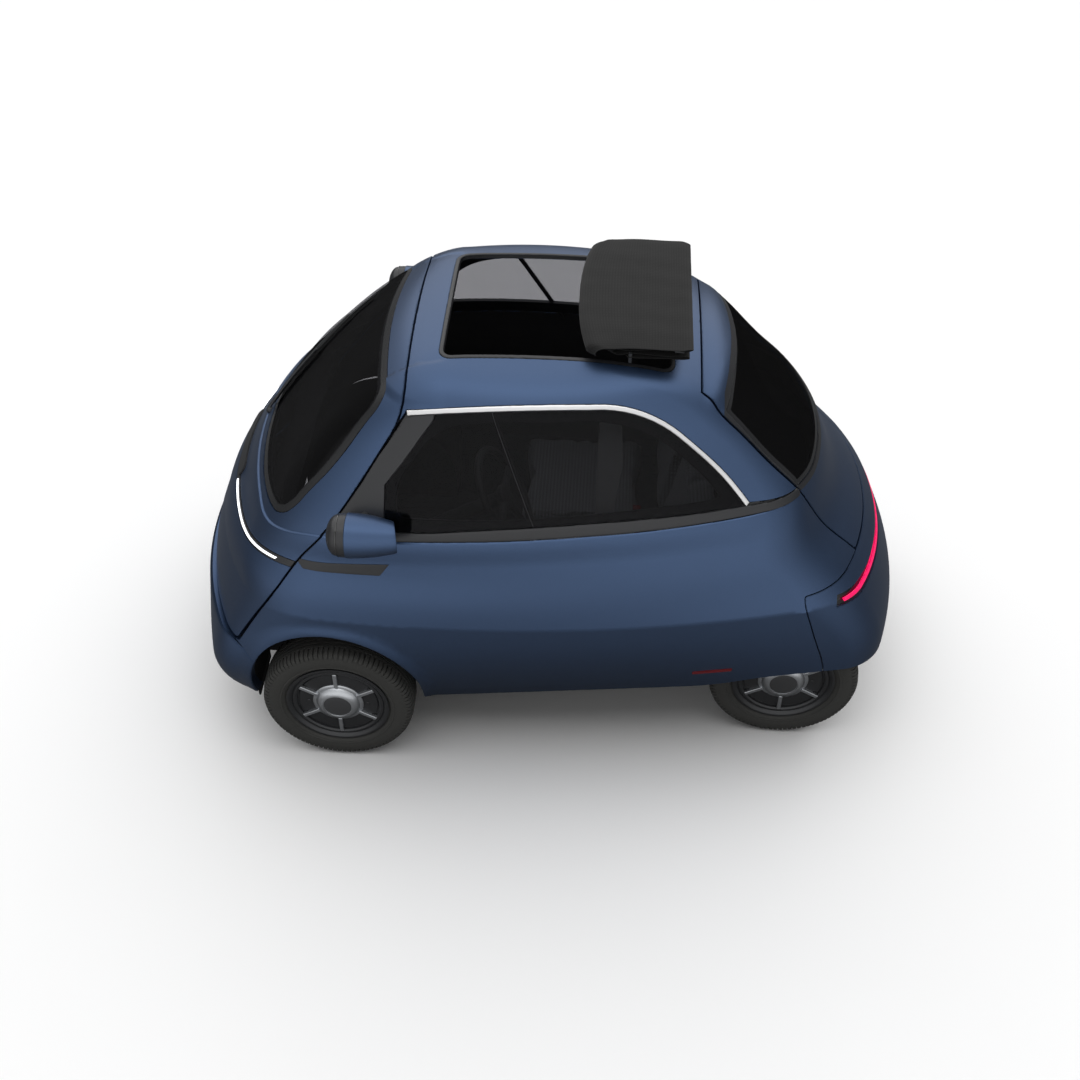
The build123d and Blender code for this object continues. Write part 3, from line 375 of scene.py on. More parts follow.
def region_distance(points, normals, cuts):
    """Distance over the surface from a region's edge, below 0 inside it."""
    worst = np.full(len(points), -np.inf)
    for cut in cuts:
        distance, slope = outline_distance(points[:, cut.axes], cut.outline)
        full = np.zeros((len(points), 3))
        full[:, cut.axes] = slope
        lean = (full * normals).sum(1)
        distance = distance / np.sqrt(np.maximum(1 - lean**2, 0.04))
        third = points[:, 3 - sum(cut.axes)]
        distance = np.maximum(distance, np.maximum(cut.low - third, third - cut.high))
        worst = np.maximum(worst, distance if cut.keep else -distance)
    return worst


def split_long_edges(faces, params, long_edge):
    """Splits each marked edge at its middle, and each face to suit, with no gaps."""
    pairs = np.sort(faces[:, [0, 1, 1, 2, 2, 0]].reshape(-1, 2), 1)
    edges, inverse = np.unique(pairs, axis=0, return_inverse=True)
    marked = long_edge(edges)
    if not marked.any():
        return faces, params, False
    middle = np.full(len(edges), -1)
    middle[marked] = len(params) + np.arange(marked.sum())
    params = np.concatenate([params, params[edges[marked]].mean(1)])
    mids = middle[inverse.reshape(-1, 3)]
    split = mids >= 0
    done = [faces[~split.any(1)]]
    for turn in range(3):
        a, b, c = (faces[:, (turn + k) % 3] for k in range(3))
        ab, bc = mids[:, turn], mids[:, (turn + 1) % 3]
        one = split[:, turn] & (split.sum(1) == 1)
        two = ~split[:, (turn + 2) % 3] & (split.sum(1) == 2)
        for rows, corners in (
            (one, (a, ab, c)),
            (one, (ab, b, c)),
            (two, (ab, b, bc)),
            (two, (a, ab, bc)),
            (two, (a, bc, c)),
        ):
            done.append(np.stack([v[rows] for v in corners], 1))
    every = split.all(1)
    a, b, c = faces[every].T
    ab, bc, ca = mids[every].T
    for corners in ((a, ab, ca), (ab, b, bc), (ca, bc, c), (ab, bc, ca)):
        done.append(np.stack(corners, 1))
    return np.concatenate(done), params, True


def grid_faces(index):
    """Two triangles for each cell of a grid of point numbers."""
    a, b, c, d = index[:-1, :-1], index[:-1, 1:], index[1:, 1:], index[1:, :-1]
    return np.concatenate([np.stack(k, -1).reshape(-1, 3) for k in ((a, b, c), (a, c, d))])


# Cells of the first net round each of the half ring's five arcs, and up the profile
NET_AROUND = (8, 8, 34, 8, 10)
NET_UP = 64


def only_used(faces, *tables):
    """Faces renumbered over the rows that they use, and those rows."""
    used, faces = np.unique(faces, return_inverse=True)
    return faces.reshape(-1, 3), *(table[used] for table in tables)


def trimmed_net(surface, cuts, finest, coarsest, growth, fold=None):
    """Triangles over the part of the surface inside the cuts, fine along its edges: faces, the
    surface parameters of the points, and how far each point is from the edge."""
    us = [np.linspace(k, k + 1, n, endpoint=False) for k, n in enumerate(NET_AROUND)]
    us = np.append(np.concatenate(us), float(AROUND))
    ts = np.unique(np.append(np.linspace(0.0, KNOTS[-1], NET_UP), KNOTS[CREASE]))
    grid = np.arange(len(us) * len(ts)).reshape(len(ts), len(us))
    params = np.stack(np.meshgrid(us, ts), -1).reshape(-1, 2)
    faces = grid_faces(grid)
    for _ in range(10):
        points, normals = with_normals(surface, *params.T)
        away = region_distance(points, normals, cuts)
        spans = np.linalg.norm(points[faces] - points[faces[:, [1, 2, 0]]], axis=2).max(1)
        faces = faces[away[faces].min(1) < 1.2 * spans]
        faces, params, points, away = only_used(faces, params, points, away)

        def long_edge(edges):
            length = np.linalg.norm(points[edges[:, 0]] - points[edges[:, 1]], axis=1)
            ends = away[edges]
            near = np.where(ends[:, 0] * ends[:, 1] < 0, 0.0, np.abs(ends).min(1))
            if fold:
                off = fold(points[edges.ravel()]).reshape(-1, 2)
                near = np.where(off[:, 0] * off[:, 1] < 0, 0.0, np.minimum(near, np.abs(off).min(1)))
            return length > 1.3 * np.clip(finest + growth * near, finest, coarsest)

        faces, params, more = split_long_edges(faces, params, long_edge)
        if not more:
            break
    points, normals = with_normals(surface, *params.T)
    return clip_net(surface, cuts, faces, params, region_distance(points, normals, cuts))


def clip_net(surface, cuts, faces, params, away):
    """Cuts the net's faces along the region's edge."""
    inside = away <= 0
    count = inside[faces].sum(1)
    whole = faces[count == 3]
    crossing = faces[(count == 1) | (count == 2)]
    pairs = crossing[:, [0, 1, 1, 2, 2, 0]].reshape(-1, 2)
    edges = np.unique(np.sort(pairs[inside[pairs[:, 0]] != inside[pairs[:, 1]]], 1), axis=0)
    ends = params[edges]
    low, high = np.zeros(len(edges)), np.ones(len(edges))
    starts_inside = inside[edges[:, 0]]
    for _ in range(10):
        share = (low + high) / 2
        spots = ends[:, 0] + share[:, None] * (ends[:, 1] - ends[:, 0])
        spot_inside = region_distance(*with_normals(surface, *spots.T), cuts) <= 0
        same = spot_inside == starts_inside
        low, high = np.where(same, share, low), np.where(same, high, share)
    share = np.clip((low + high) / 2, 0.02, 0.98)
    spots = ends[:, 0] + share[:, None] * (ends[:, 1] - ends[:, 0])
    lookup = {tuple(edge): len(params) + k for k, edge in enumerate(edges.tolist())}
    params = np.concatenate([params, spots])
    away = np.concatenate([away, np.zeros(len(spots))])
    cut_faces = []
    for face in crossing.tolist():
        ring = []
        for p, q in zip(face, face[1:] + face[:1]):
            if inside[p]:
                ring.append(p)
            if inside[p] != inside[q]:
                ring.append(lookup[(min(p, q), max(p, q))])
        cut_faces += [(ring[0], ring[k], ring[k + 1]) for k in range(1, len(ring) - 1)]
    faces = np.concatenate([whole, np.array(cut_faces, int).reshape(-1, 3)])
    faces, params, away = only_used(faces, params, away)
    return faces, params, -away


class Solid:
    """Points, triangles, a normal for each corner, a material number for each face and the
    distance of each point from its panel's edge."""

    def __init__(self, points, faces, normals, looks, edge):
        self.points, self.faces, self.normals = points, faces, normals
        self.looks, self.edge = looks, edge

    def mirrored(self):
        """The same solid on the car's other side."""
        flip = np.array([1.0, -1.0, 1.0])
        return Solid(
            self.points * flip, self.faces[:, ::-1], (self.normals * flip)[:, ::-1], self.looks, self.edge
        )

    def __add__(self, other):
        return Solid(
            np.concatenate([self.points, other.points]),
            np.concatenate([self.faces, other.faces + len(self.points)]),
            np.concatenate([self.normals, other.normals]), np.concatenate([self.looks, other.looks]),
            np.concatenate([self.edge, other.edge])
        )

    def joined_at_middle(self):
        """The solid and its mirror image, joined where they meet at the car's middle."""
        both = self + self.mirrored()
        count = len(self.points)
        middle = np.abs(self.points[:, 1]) < 1e-6
        target = np.arange(2 * count)
        target[count:][middle] = np.arange(count)[middle]
        both.faces = target[both.faces]
        used, faces = np.unique(both.faces, return_inverse=True)
        return Solid(both.points[used], faces.reshape(-1, 3), both.normals, both.looks, both.edge[used])


def shell_solid(surface, cuts, skin, lift=0.0, ease=2.5, finest=3.0, coarsest=34.0, growth=0.55, look=None,
                fold=None):
    """A closed panel of the left half: the trimmed surface moved outward by lift, skin thick, with
    its outer edge eased. look(points, edge) numbers the outer faces' materials; the back and the
    walls take the material numbers 1 and 2. fold(points) is 0 along a crease to follow closely."""
    faces, params, edge = trimmed_net(surface, cuts, finest, coarsest, growth, fold)
    points, normals = with_normals(surface, *params.T)
    a, b, c = points[faces].transpose(1, 0, 2)
    turned = (np.cross(b - a, c - a) * normals[faces[:, 0]]).sum(1) < 0
    faces[turned] = faces[turned][:, ::-1]
    near = np.clip(ease - edge, 0, ease)
    sink = ease - np.sqrt(np.maximum(ease**2 - near**2, 0.0))
    outer = points + (lift - sink)[:, None] * normals
    inner = points + (lift - skin) * normals
    middle = np.abs(points[:, 1]) < 1e-6
    outer[middle, 1] = inner[middle, 1] = 0.0
    pairs = faces[:, [0, 1, 1, 2, 2, 0]].reshape(-1, 2)
    key = np.sort(pairs, 1)
    _, first, count = np.unique(key, axis=0, return_index=True, return_counts=True)
    rim = pairs[first[count == 1]]
    rim = rim[~(middle[rim[:, 0]] & middle[rim[:, 1]])]
    total = len(points)
    walls = np.concatenate(
        [np.stack([rim[:, 0], rim[:, 0] + total, rim[:, 1] + total], 1)[:, ::-1],
         np.stack([rim[:, 0], rim[:, 1] + total, rim[:, 1]], 1)[:, ::-1]]
    )
    every = np.concatenate([outer, inner])
    p, q, r = every[walls].transpose(1, 0, 2)
    wall_normals = unit_rows(np.cross(q - p, r - p))
    tilt = np.zeros((total, 3))
    for k in (0, 1, 2):
        np.add.at(tilt, walls[:, k] % total, wall_normals)
    tilt /= np.maximum(np.linalg.norm(tilt, axis=1, keepdims=True), 1e-9)
    eased = normals + (near / ease * 1.2)[:, None] * tilt
    eased /= np.linalg.norm(eased, axis=1, keepdims=True)
    corner_normals = np.concatenate(
        [eased[faces], -normals[faces[:, ::-1]], np.repeat(wall_normals[:, None], 3, 1)]
    )
    outer_looks = np.zeros(len(faces), int)
    if look:
        outer_looks = look(points[faces].mean(1), edge[faces].mean(1)).astype(int)
    looks = np.concatenate([outer_looks, np.full(len(faces), 1), np.full(len(walls), 2)])
    return Solid(every, np.concatenate([faces, faces[:, ::-1] + total, walls]), corner_normals, looks,
                 np.concatenate([edge, edge]))


# ---------------------------------------------------------------- materials
def linear(code):
    """A colour written as sRGB hex, as linear red, green, blue and alpha."""
    parts = [int(code[k : k + 2], 16) / 255 for k in (1, 3, 5)]
    return (*(c / 12.92 if c <= 0.04045 else ((c + 0.055) / 1.055) ** 2.4 for c in parts), 1.0)


def node(tree, kind, links=None, **settings):
    """Adds a shader node. links sets its sockets: a value, or an output to join to it."""
    made = tree.nodes.new(kind)
    for name, value in settings.items():
        setattr(made, name, value)
    for socket, value in (links or {}).items():
        if isinstance(value, bpy.types.NodeSocket):
            tree.links.new(value, made.inputs[socket])
        else:
            made.inputs[socket].default_value = value
    return made


def new_material(name):
    """An empty node material and its tree."""
    made = bpy.data.materials.new(name)
    made.use_nodes = True
    made.node_tree.nodes.clear()
    return made, made.node_tree


def finished(made, shader):
    """The material, with the shader joined to its output."""
    node(made.node_tree, "ShaderNodeOutputMaterial", {"Surface": shader.outputs[0]})
    return made


def tinted(colour, share):
    """A colour made lighter or darker by a share, kept within white."""
    return tuple(min(1.0, c * share) for c in colour[:3]) + (1.0,)


def grain(tree, size, detail=2.0, attribute=None):
    """Noise whose features are about size millimetres across, in the piece's own space."""
    place = node(tree, "ShaderNodeTexCoord").outputs["Object"]
    if attribute:
        place = node(tree, "ShaderNodeUVMap", uv_map=attribute).outputs["UV"]
    return node(
        tree, "ShaderNodeTexNoise", {"Vector": place, "Scale": 1000.0 / size, "Detail": detail}
    ).outputs["Fac"]


def between(tree, share, low, high):
    """A value or colour from low to high as share goes from 0 to 1."""
    if isinstance(low, float):
        return node(
            tree, "ShaderNodeMapRange", {"Value": share, "To Min": low, "To Max": high}
        ).outputs["Result"]
    mix = node(tree, "ShaderNodeMix", {0: share, 6: low, 7: high}, data_type="RGBA")
    return mix.outputs[2]  # the colour result


def raised(tree, height, depth):
    """A normal from a height pattern depth millimetres deep."""
    return node(
        tree, "ShaderNodeBump", {"Height": height, "Strength": 1.0, "Distance": depth * MM}
    ).outputs["Normal"]


def surface_material(
    name, code, rough, metal=0.0, coat=0.0, size=1.0, depth=0.02, spread=0.15, sheen=0.0
):
    """A solid finish with a fine grain: its colour and gloss vary a little over the piece."""
    colour = linear(code)
    made, tree = new_material(name)
    fine = grain(tree, size)
    broad = grain(tree, 180.0)
    dark, light = tinted(colour, 1 - spread), tinted(colour, 1 + spread)
    shader = node(
        tree, "ShaderNodeBsdfPrincipled",
        {
            "Base Color": between(tree, fine, dark, light),
            "Roughness": between(tree, broad, rough * 0.9, min(1.0, rough * 1.1)), "Metallic": metal,
            "Coat Weight": coat, "Coat Roughness": 0.12, "Sheen Weight": sheen,
            "Normal": raised(tree, fine, depth)
        }
    )
    return finished(made, shader)


def paint_material(look):
    """Matt metallic blue paint: bright flakes in a deep blue base under a satin clear coat. The flakes
    are 0.7 mm across, coarser than real ones."""
    made, tree = new_material("matt_metallic_paint")
    place = node(tree, "ShaderNodeTexCoord").outputs["Object"]
    flakes = node(tree, "ShaderNodeTexVoronoi", {"Vector": place, "Scale": 1000.0 / 0.7})
    base = tuple(look.paint)
    shader = node(
        tree, "ShaderNodeBsdfPrincipled",
        {
            "Base Color": between(
                tree, flakes.outputs["Color"], (*(c * 0.88 for c in base), 1.0),
                (*(min(1.0, c * 1.12 + 0.004) for c in base), 1.0)
            ),
            "Roughness": between(
                tree, grain(tree, 220.0), look.paint_roughness - 0.02, look.paint_roughness + 0.02
            ),
            "Metallic": 0.85, "Coat Weight": 0.6, "Coat Roughness": 0.4,
            "Normal": raised(tree, grain(tree, 9.0), 0.006)
        }
    )
    return finished(made, shader)


def glass_material(name, clear, band=0.0, shine=0.09):
    """Tinted safety glass with a low-reflection face; each face lets through the share clear, and a
    printed black border runs round it."""
    made, tree = new_material(name)
    fresnel = node(tree, "ShaderNodeFresnel", {"IOR": 1.45}).outputs[0]
    sheen = node(tree, "ShaderNodeMath", {0: fresnel, 1: shine}, operation="MINIMUM").outputs[0]
    through = node(tree, "ShaderNodeBsdfTransparent", {"Color": (clear, clear, clear * 1.03, 1.0)})
    gloss = node(
        tree, "ShaderNodeBsdfGlossy",
        {"Color": (0.8, 0.8, 0.82, 1), "Roughness": between(tree, grain(tree, 400.0), 0.03, 0.07)}
    )
    pane = node(tree, "ShaderNodeMixShader", {0: sheen, 1: through.outputs[0], 2: gloss.outputs[0]})
    if band:
        border = node(
            tree, "ShaderNodeBsdfPrincipled",
            {
                "Base Color": linear("#2A2B2D"), "Roughness": 0.22,
                "Normal": raised(tree, grain(tree, 0.8), 0.004)
            }
        )
        edge = node(tree, "ShaderNodeAttribute", attribute_name="edge").outputs["Fac"]
        inner = node(
            tree, "ShaderNodeMapRange",
            {"Value": edge, "From Min": band * MM, "From Max": (band + 3) * MM}
        ).outputs["Result"]
        pane = node(tree, "ShaderNodeMixShader", {0: inner, 1: border.outputs[0], 2: pane.outputs[0]})
    return finished(made, pane)


def lamp_material(name, code, power, rough=0.2):
    """A lit lamp lens: it glows evenly, with vertical flutes 6 mm apart, coarser than a real lens's."""
    colour = linear(code)
    made, tree = new_material(name)
    place = node(tree, "ShaderNodeTexCoord").outputs["Object"]
    flutes = node(
        tree, "ShaderNodeTexWave", {"Vector": place, "Scale": 1000.0 / 6.0 / 20.0}, bands_direction="Y"
    )
    glow = node(
        tree, "ShaderNodeMapRange",
        {"Value": flutes.outputs["Fac"], "To Min": power * 0.9, "To Max": power * 1.1}
    ).outputs["Result"]
    shader = node(
        tree, "ShaderNodeBsdfPrincipled",
        {"Base Color": colour, "Roughness": rough, "Emission Color": colour, "Emission Strength": glow}
    )
    return finished(made, shader)


def cloth_material(name, code, thread, depth=0.25, rough=0.95):
    """Woven cloth: warp and weft threads thread millimetres apart, from the piece's own UV map. They
    are drawn coarser than real threads, so that the weave can be seen."""
    colour = linear(code)
    made, tree = new_material(name)
    place = node(tree, "ShaderNodeUVMap", uv_map="cloth").outputs["UV"]
    weave = [
        node(
            tree, "ShaderNodeTexWave",
            {"Vector": place, "Scale": 1000.0 / thread / 20.0, "Distortion": 0.6, "Detail": 1.0},
            bands_direction=way
        ).outputs["Fac"] for way in ("X", "Y")
    ]
    threads = node(tree, "ShaderNodeMath", {0: weave[0], 1: weave[1]}, operation="MULTIPLY").outputs[0]
    worn = grain(tree, 60.0)
    dark, light = tinted(colour, 0.7), tinted(colour, 1.25)
    shader = node(
        tree, "ShaderNodeBsdfPrincipled",
        {
            "Base Color": between(tree, threads, dark, light),
            "Roughness": between(tree, worn, rough - 0.08, min(1.0, rough + 0.03)),
            "Specular IOR Level": 0.3, "Sheen Weight": 0.1, "Sheen Roughness": 0.5,
            "Normal": raised(tree, threads, depth)
        }
    )
    return finished(made, shader)


LOOKS = {}


def make_materials(look):
    """Every finish of the car, by name."""
    LOOKS.update(
        # matt blue that grades softly from the light roof to the dark sills
        paint=paint_material(look),
        # dark felt that swallows the light inside the skins; its nap is coarser than real felt
        lining=surface_material("cabin_lining", "#26272A", 0.9, size=2.5, depth=0.2, sheen=0.2),
        # soft highlights along the waist strips, arms and seals
        black=surface_material("satin_black_plastic", "#27282B", 0.38, size=1.2, depth=0.03),
        # flat dark plastic with a leathery grain, coarser than a real moulding's
        dull=surface_material("grained_black_plastic", "#2E2F31", 0.62, size=1.5, depth=0.08),
        # pale pillar trims seen through the side glass
        grey=surface_material("grey_plastic", "#BDBEBC", 0.55, size=1.5, depth=0.05),
        # deep black with sharp reflections, in the lamp housings, and on the pods' mirror faces, where the
        # black is painted shade
        gloss=surface_material("gloss_black_plastic", "#0D0E10", 0.12, coat=0.5, size=40.0, depth=0.01),
        # a near-white line over the windows: a chrome strip whose near-white, mostly matt colour is painted
        # reflection, over a little real metallic shine
        chrome=surface_material(
            "bright_trim", "#FBFBFC", 0.25, metal=0.3, size=30.0, depth=0.004, spread=0.03
        ),
        # pale silver spokes and hubs with a fine sparkle, coarser than real flakes
        alloy=surface_material(
            "silver_wheel_paint", "#B9BCC0", 0.3, metal=0.8, size=0.6, depth=0.004, spread=0.06
        ),
        # the wheel's dark disc and barrel, behind the silver
        dark_alloy=surface_material("dark_wheel_paint", "#3C3D3F", 0.45, metal=0.4, size=0.8, depth=0.006),
        # mid grey middle of each wheel
        cap=surface_material("satin_grey_cap", "#57585A", 0.4, metal=0.3, size=0.8, depth=0.004),
        # dusty dark grey, with a grain coarser than real rubber's
        rubber=surface_material("tyre_rubber", "#424240", 0.8, size=3.0, depth=0.12),
        # dull dark metal under the car and in the roof's bows
        steel=surface_material("painted_steel", "#3A3C3F", 0.5, metal=0.3, size=4.0, depth=0.02),
        # light grey metal with a sandy skin
        cast=surface_material("cast_aluminium", "#85888B", 0.5, metal=0.8, size=1.5, depth=0.05),
        # small red accents: buckles and reflectors
        red=surface_material("red_plastic", "#8E1A24", 0.25, size=8.0, depth=0.01),
        # grey glass that shows the cabin dimly, inside a black border
        screen=glass_material("windscreen_glass", 0.42, band=24.0),
        rear=glass_material("rear_window_glass", 0.36, band=14.0, shine=0.04),
        # dark panes with hardly a reflection
        side=glass_material("side_window_glass", 0.46, shine=0.008),
        # a bright white line across the nose, and a pink-red glow at the tail
        led=lamp_material("white_light_strip", "#F4F6FA", 1.6),
        tail=lamp_material("red_tail_lens", "#E5145A", 0.85),
        # black canvas with a faint weave, and grey seat cloth with a clearer one
        top=cloth_material("roof_canvas", "#202020", 1.4, depth=0.12),
        seat=cloth_material("seat_cloth", "#8E9094", 2.0),
    )


# ---------------------------------------------------------------- pieces
def solid_mesh(name, solid, looks):
    """A mesh in metres from a Solid, with its own corner normals and its edge distances."""
    mesh = bpy.data.meshes.new(name)
    mesh.vertices.add(len(solid.points))
    mesh.vertices.foreach_set("co", (solid.points * MM).astype(np.float32).ravel())
    mesh.loops.add(3 * len(solid.faces))
    mesh.loops.foreach_set("vertex_index", solid.faces.astype(np.int32).ravel())
    mesh.polygons.add(len(solid.faces))
    mesh.polygons.foreach_set("loop_start", np.arange(0, 3 * len(solid.faces), 3, dtype=np.int32))
    for look in looks:
        mesh.materials.append(LOOKS[look])
    mesh.polygons.foreach_set("material_index", solid.looks.astype(np.int32))
    mesh.polygons.foreach_set("use_smooth", np.ones(len(solid.faces), bool))
    mesh.update(calc_edges=True)
    mesh.normals_split_custom_set(solid.normals.reshape(-1, 3))
    edge = mesh.attributes.new("edge", "FLOAT", "POINT")
    edge.data.foreach_set("value", (solid.edge * MM).astype(np.float32))
    return mesh


def place(name, mesh, body, nodes=(), slot=None):
    """Adds a mesh as a piece of the car that rides on a body and stands for CAD nodes."""
    made = bpy.data.objects.new(name, mesh)
    bpy.context.scene.collection.objects.link(made)
    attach(made, body)
    if nodes:
        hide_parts(*nodes)
    return made


def panel(name, solid, looks, body="car", nodes=(), slot=None):
    """Adds a Solid as a piece of the car."""
    return place(name, solid_mesh(name, solid, looks), body, nodes, slot)


def widened(half, shift):
    """One side of an outline that is closed by its mirror image, moved outward by shift."""
    whole = np.array(both_sides(half), float)
    before, after = np.roll(whole, 1, 0), np.roll(whole, -1, 0)
    turn = (whole[:, 0] * after[:, 1] - after[:, 0] * whole[:, 1]).sum()
    first, second = whole - before, after - whole
    normals = []
    for side in (first, second):
        unit = side / np.linalg.norm(side, axis=1, keepdims=True)
        normals.append(np.stack([unit[:, 1], -unit[:, 0]], 1) * np.sign(turn))
    total = normals[0] + normals[1]
    total /= (1 + (normals[0] * normals[1]).sum(1))[:, None]
    moved = whole + shift * total
    return [tuple(p) for p in moved[: len(half)]]


def narrowed(half, shift):
    """The same, moved inward."""
    return widened(half, -shift)


COWL_EDGE = mirrored_outline(COWL, sharp=4)


def below_waist(points):
    """How far points lie below the waist line of the sides and the cowl line of the nose."""
    below = np.interp(points[:, 0], *np.array(BELT_LOW[::-1]).T) - points[:, 2]
    ahead = points[:, 0] < BELT_LOW[-1][0] - 8
    below[ahead] = outline_distance(points[ahead][:, END], COWL_EDGE)[0]
    return below


def raise_body(points):
    """How far the panels stand out from the plain form: a lip round the front arches, a small spoiler
    over the rear window, rails beside the roof's front, and a shelf below the waist and the cowl."""
    x, y, z = points.T
    from_arch = np.hypot(x - ARCH[0], z - ARCH[1]) - ARCH_R
    lip = 9.0 * (1 - ramp(from_arch, 0, 55)) * ramp(-from_arch, -400, 0) * (z > 150)
    lip *= 1 - ramp(z, 640, 720)
    spoiler = 9.0 * ramp(x, TAILGATE_X, TAILGATE_X + 70) * ramp(z, 1335, 1395)
    rail = 3.0 * ramp(np.abs(y), 306, 322) * ramp(z, 1380, 1400) * (1 - ramp(x, -350, -300))
    below = below_waist(points)
    shelf = 6.0 * ramp(below, -3, 7) * (1 - ramp(below, 14, 90)) * (1 - ramp(x, 640, 800))
    return lip + spoiler + rail + shelf


def bumper_form(u, t):
    """The body form with the bumper's ledge, which dies out where it meets the body side."""
    ahead, body = egg(u, t, BUMPER_ARCS), egg(u, t)
    share = ramp(ahead[:, 0], -1110, -1000)[:, None]
    return ahead * (1 - share) + body * share


def reshaped(surface, shift):
    """A surface moved along its normals by shift(points)."""

    def shape(u, t):
        points, normals = with_normals(surface, u, t)
        return points + shift(points)[:, None] * normals

    return shape


body_surface = reshaped(egg, raise_body)
bumper_surface = reshaped(bumper_form, raise_body)
DOOR_IN = Cut(SIDE, rounded(DOOR_ZONE), True)
SCREEN_HOLE = Cut(END, mirrored_outline(SCREEN), False, *AHEAD)
REAR_HOLE = Cut(END, mirrored_outline(REAR_SCREEN), False, *BEHIND)
BAR = mirrored_outline([*BAR_HIGH, *BAR_LOW])
SILL_OUT = Cut(SIDE, rounded(SILL), False)
ARCH_OUT = Cut(SIDE, arch_outline(ARCH_R, ARCH_HALF), False)
WINDOW_ZONE = [*strip_curve(STRIP_HALF), BELT_HIGH[-1], *BELT_LOW, BELT_HIGH[0]]
HATCH_OUT = Cut(END, mirrored_outline(widened(TAILGATE, GAP)), False, TAILGATE_X - GAP, 3000)
CLEAR = rounded(CLEAR_AREA, sharp=30)


def build_body(look):
    """Body shell, bumpers, front door and tailgate skins."""
    paint = ("paint", "lining", "paint", "black")
    roof = Cut(PLAN, round_rectangle(SUNROOF[:2], (-SUNROOF[2], SUNROOF[2]), SUNROOF[3]), False, *ROOF_ONLY)
    outer = shell_solid(
        body_surface,
        [
            Cut(SIDE, rounded(DOOR_CUT), False), Cut(SIDE, rounded(NOSE_CUT), False),
            Cut(SIDE, rounded(TAIL_CUT), False), HATCH_OUT, Cut(SIDE, WINDOW_ZONE, False), roof, ARCH_OUT,
            SILL_OUT
        ],
        20.0, finest=4.5, growth=0.8, coarsest=40.0, fold=below_waist
    )
    window_frame = shell_solid(
        egg, [Cut(SIDE, WINDOW_ZONE, True), Cut(SIDE, BODY_SIDE, True), Cut(SIDE, CLEAR, False)], 12.0,
        lift=-8.0, ease=1.0, finest=7.0, growth=0.9
    )
    window_frame.looks[:] = 3
    shell = (outer + window_frame).joined_at_middle()
    panel("body_shell_skin", shell, paint, "car", ["body_shell"], "body_paint")
    bumper = shell_solid(
        bumper_surface, [Cut(SIDE, rounded(NOSE_ZONE), True), ARCH_OUT, SILL_OUT], LEDGE + 18, ease=9.0,
        finest=4.0, growth=0.7
    )
    liner = soft_box((-1018.0, -615.0, 186.0), (-1011.0, -428.0, 340.0), 2.0, look=3)
    bumper = bumper + liner
    panel("front_bumper_skin", bumper.joined_at_middle(), paint, "car", ["front_bumper"], "body_paint")
    rear = shell_solid(
        body_surface, [Cut(SIDE, rounded(TAIL_ZONE), True), SILL_OUT, Cut(SIDE, LAMP, False)], 20.0,
        ease=3.5, finest=4.0, growth=0.7
    )
    panel("rear_bumper_skin", rear.joined_at_middle(), paint, "car", ["rear_bumper"], "body_paint")
    door = shell_solid(
        body_surface, [DOOR_IN, SCREEN_HOLE, Cut(END, BAR, False, *NOSE_ONLY)], 19.0, ease=3.0,
        finest=4.0, growth=0.6, fold=below_waist
    )
    flange = shell_solid(
        egg,
        [
            Cut(END, mirrored_outline(SCREEN), True, *AHEAD),
            Cut(END, mirrored_outline(narrowed(SCREEN, 26)), False, *AHEAD), DOOR_IN
        ],
        10.0, lift=-8.5, ease=1.0, finest=8.0, growth=0.9
    )
    flange.looks[:] = 3
    door = (door + flange).joined_at_middle()
    panel("front_door_skin", door, paint, "door", ["front_door"], "body_paint")
    hatch = shell_solid(
        body_surface, [Cut(END, mirrored_outline(TAILGATE), True, TAILGATE_X, 3000), REAR_HOLE], 19.0,
        ease=3.0, finest=4.0, growth=0.6
    )
    panel("hatch_skin", hatch.joined_at_middle(), paint, "hatch", ["hatch_panel"], "body_paint")


def build_glass(look):
    """Windscreen, rear window and the two panes of each side window."""
    screen = shell_solid(
        egg, [Cut(END, mirrored_outline(narrowed(SCREEN, SEAT_GAP)), True, *AHEAD)], 6.0, lift=-2.5,
        ease=1.5, finest=4.0, growth=0.7
    )
    panel("windshield_glass", screen.joined_at_middle(), ("screen",) * 3, "door", ["windshield"], "glass")
    rear = shell_solid(
        egg, [Cut(END, mirrored_outline(narrowed(REAR_SCREEN, SEAT_GAP)), True, *BEHIND)], 6.0, lift=-3.0,
        ease=1.5, finest=4.0, growth=0.7
    )
    panel("rear_window_glass", rear.joined_at_middle(), ("rear",) * 3, "hatch", ["rear_glass"], "glass")
    around = shell_solid(
        body_surface,
        [
            Cut(END, mirrored_outline(widened(REAR_SCREEN, 18)), True, 560, 2000),
            Cut(END, mirrored_outline(REAR_SCREEN), False, *BEHIND),
            Cut(END, mirrored_outline(narrowed(TAILGATE, 0.5)), True, TAILGATE_X, 3000)
        ],
        8.0, lift=0.8, ease=1.5, finest=4.0, growth=0.8
    )
    panel("rear_window_seal", around.joined_at_middle(), ("black",) * 3, "hatch")
    bar = pane_bar()
    bar = bar + bar.mirrored()
    panel("pane_bars", bar, ("black",) * 3)
    belt_top = [(x, z + SEAT_GAP) for x, z in BELT_HIGH]
    under_strip = below_strip(-STRIP_HALF - SEAT_GAP)
    for part, pane in (("front", FRONT_PANE), ("rear", REAR_PANE)):
        solid = shell_solid(
            egg,
            [
                Cut(SIDE, under_strip, True), Cut(SIDE, GLASS_AREA, True),
                Cut(SIDE, [*belt_top, (830, 1600), (-684, 1600)], True), Cut(SIDE, pane, True)
            ],
            5.0, lift=-2.0, ease=1.5, finest=4.0, growth=0.8
        )
        for hand, shape in (("left", solid), ("right", solid.mirrored())):
            name = f"side_window_{part}_{hand}"
            panel(f"{name}_glass", shape, ("side",) * 3, "car", [name], "glass")


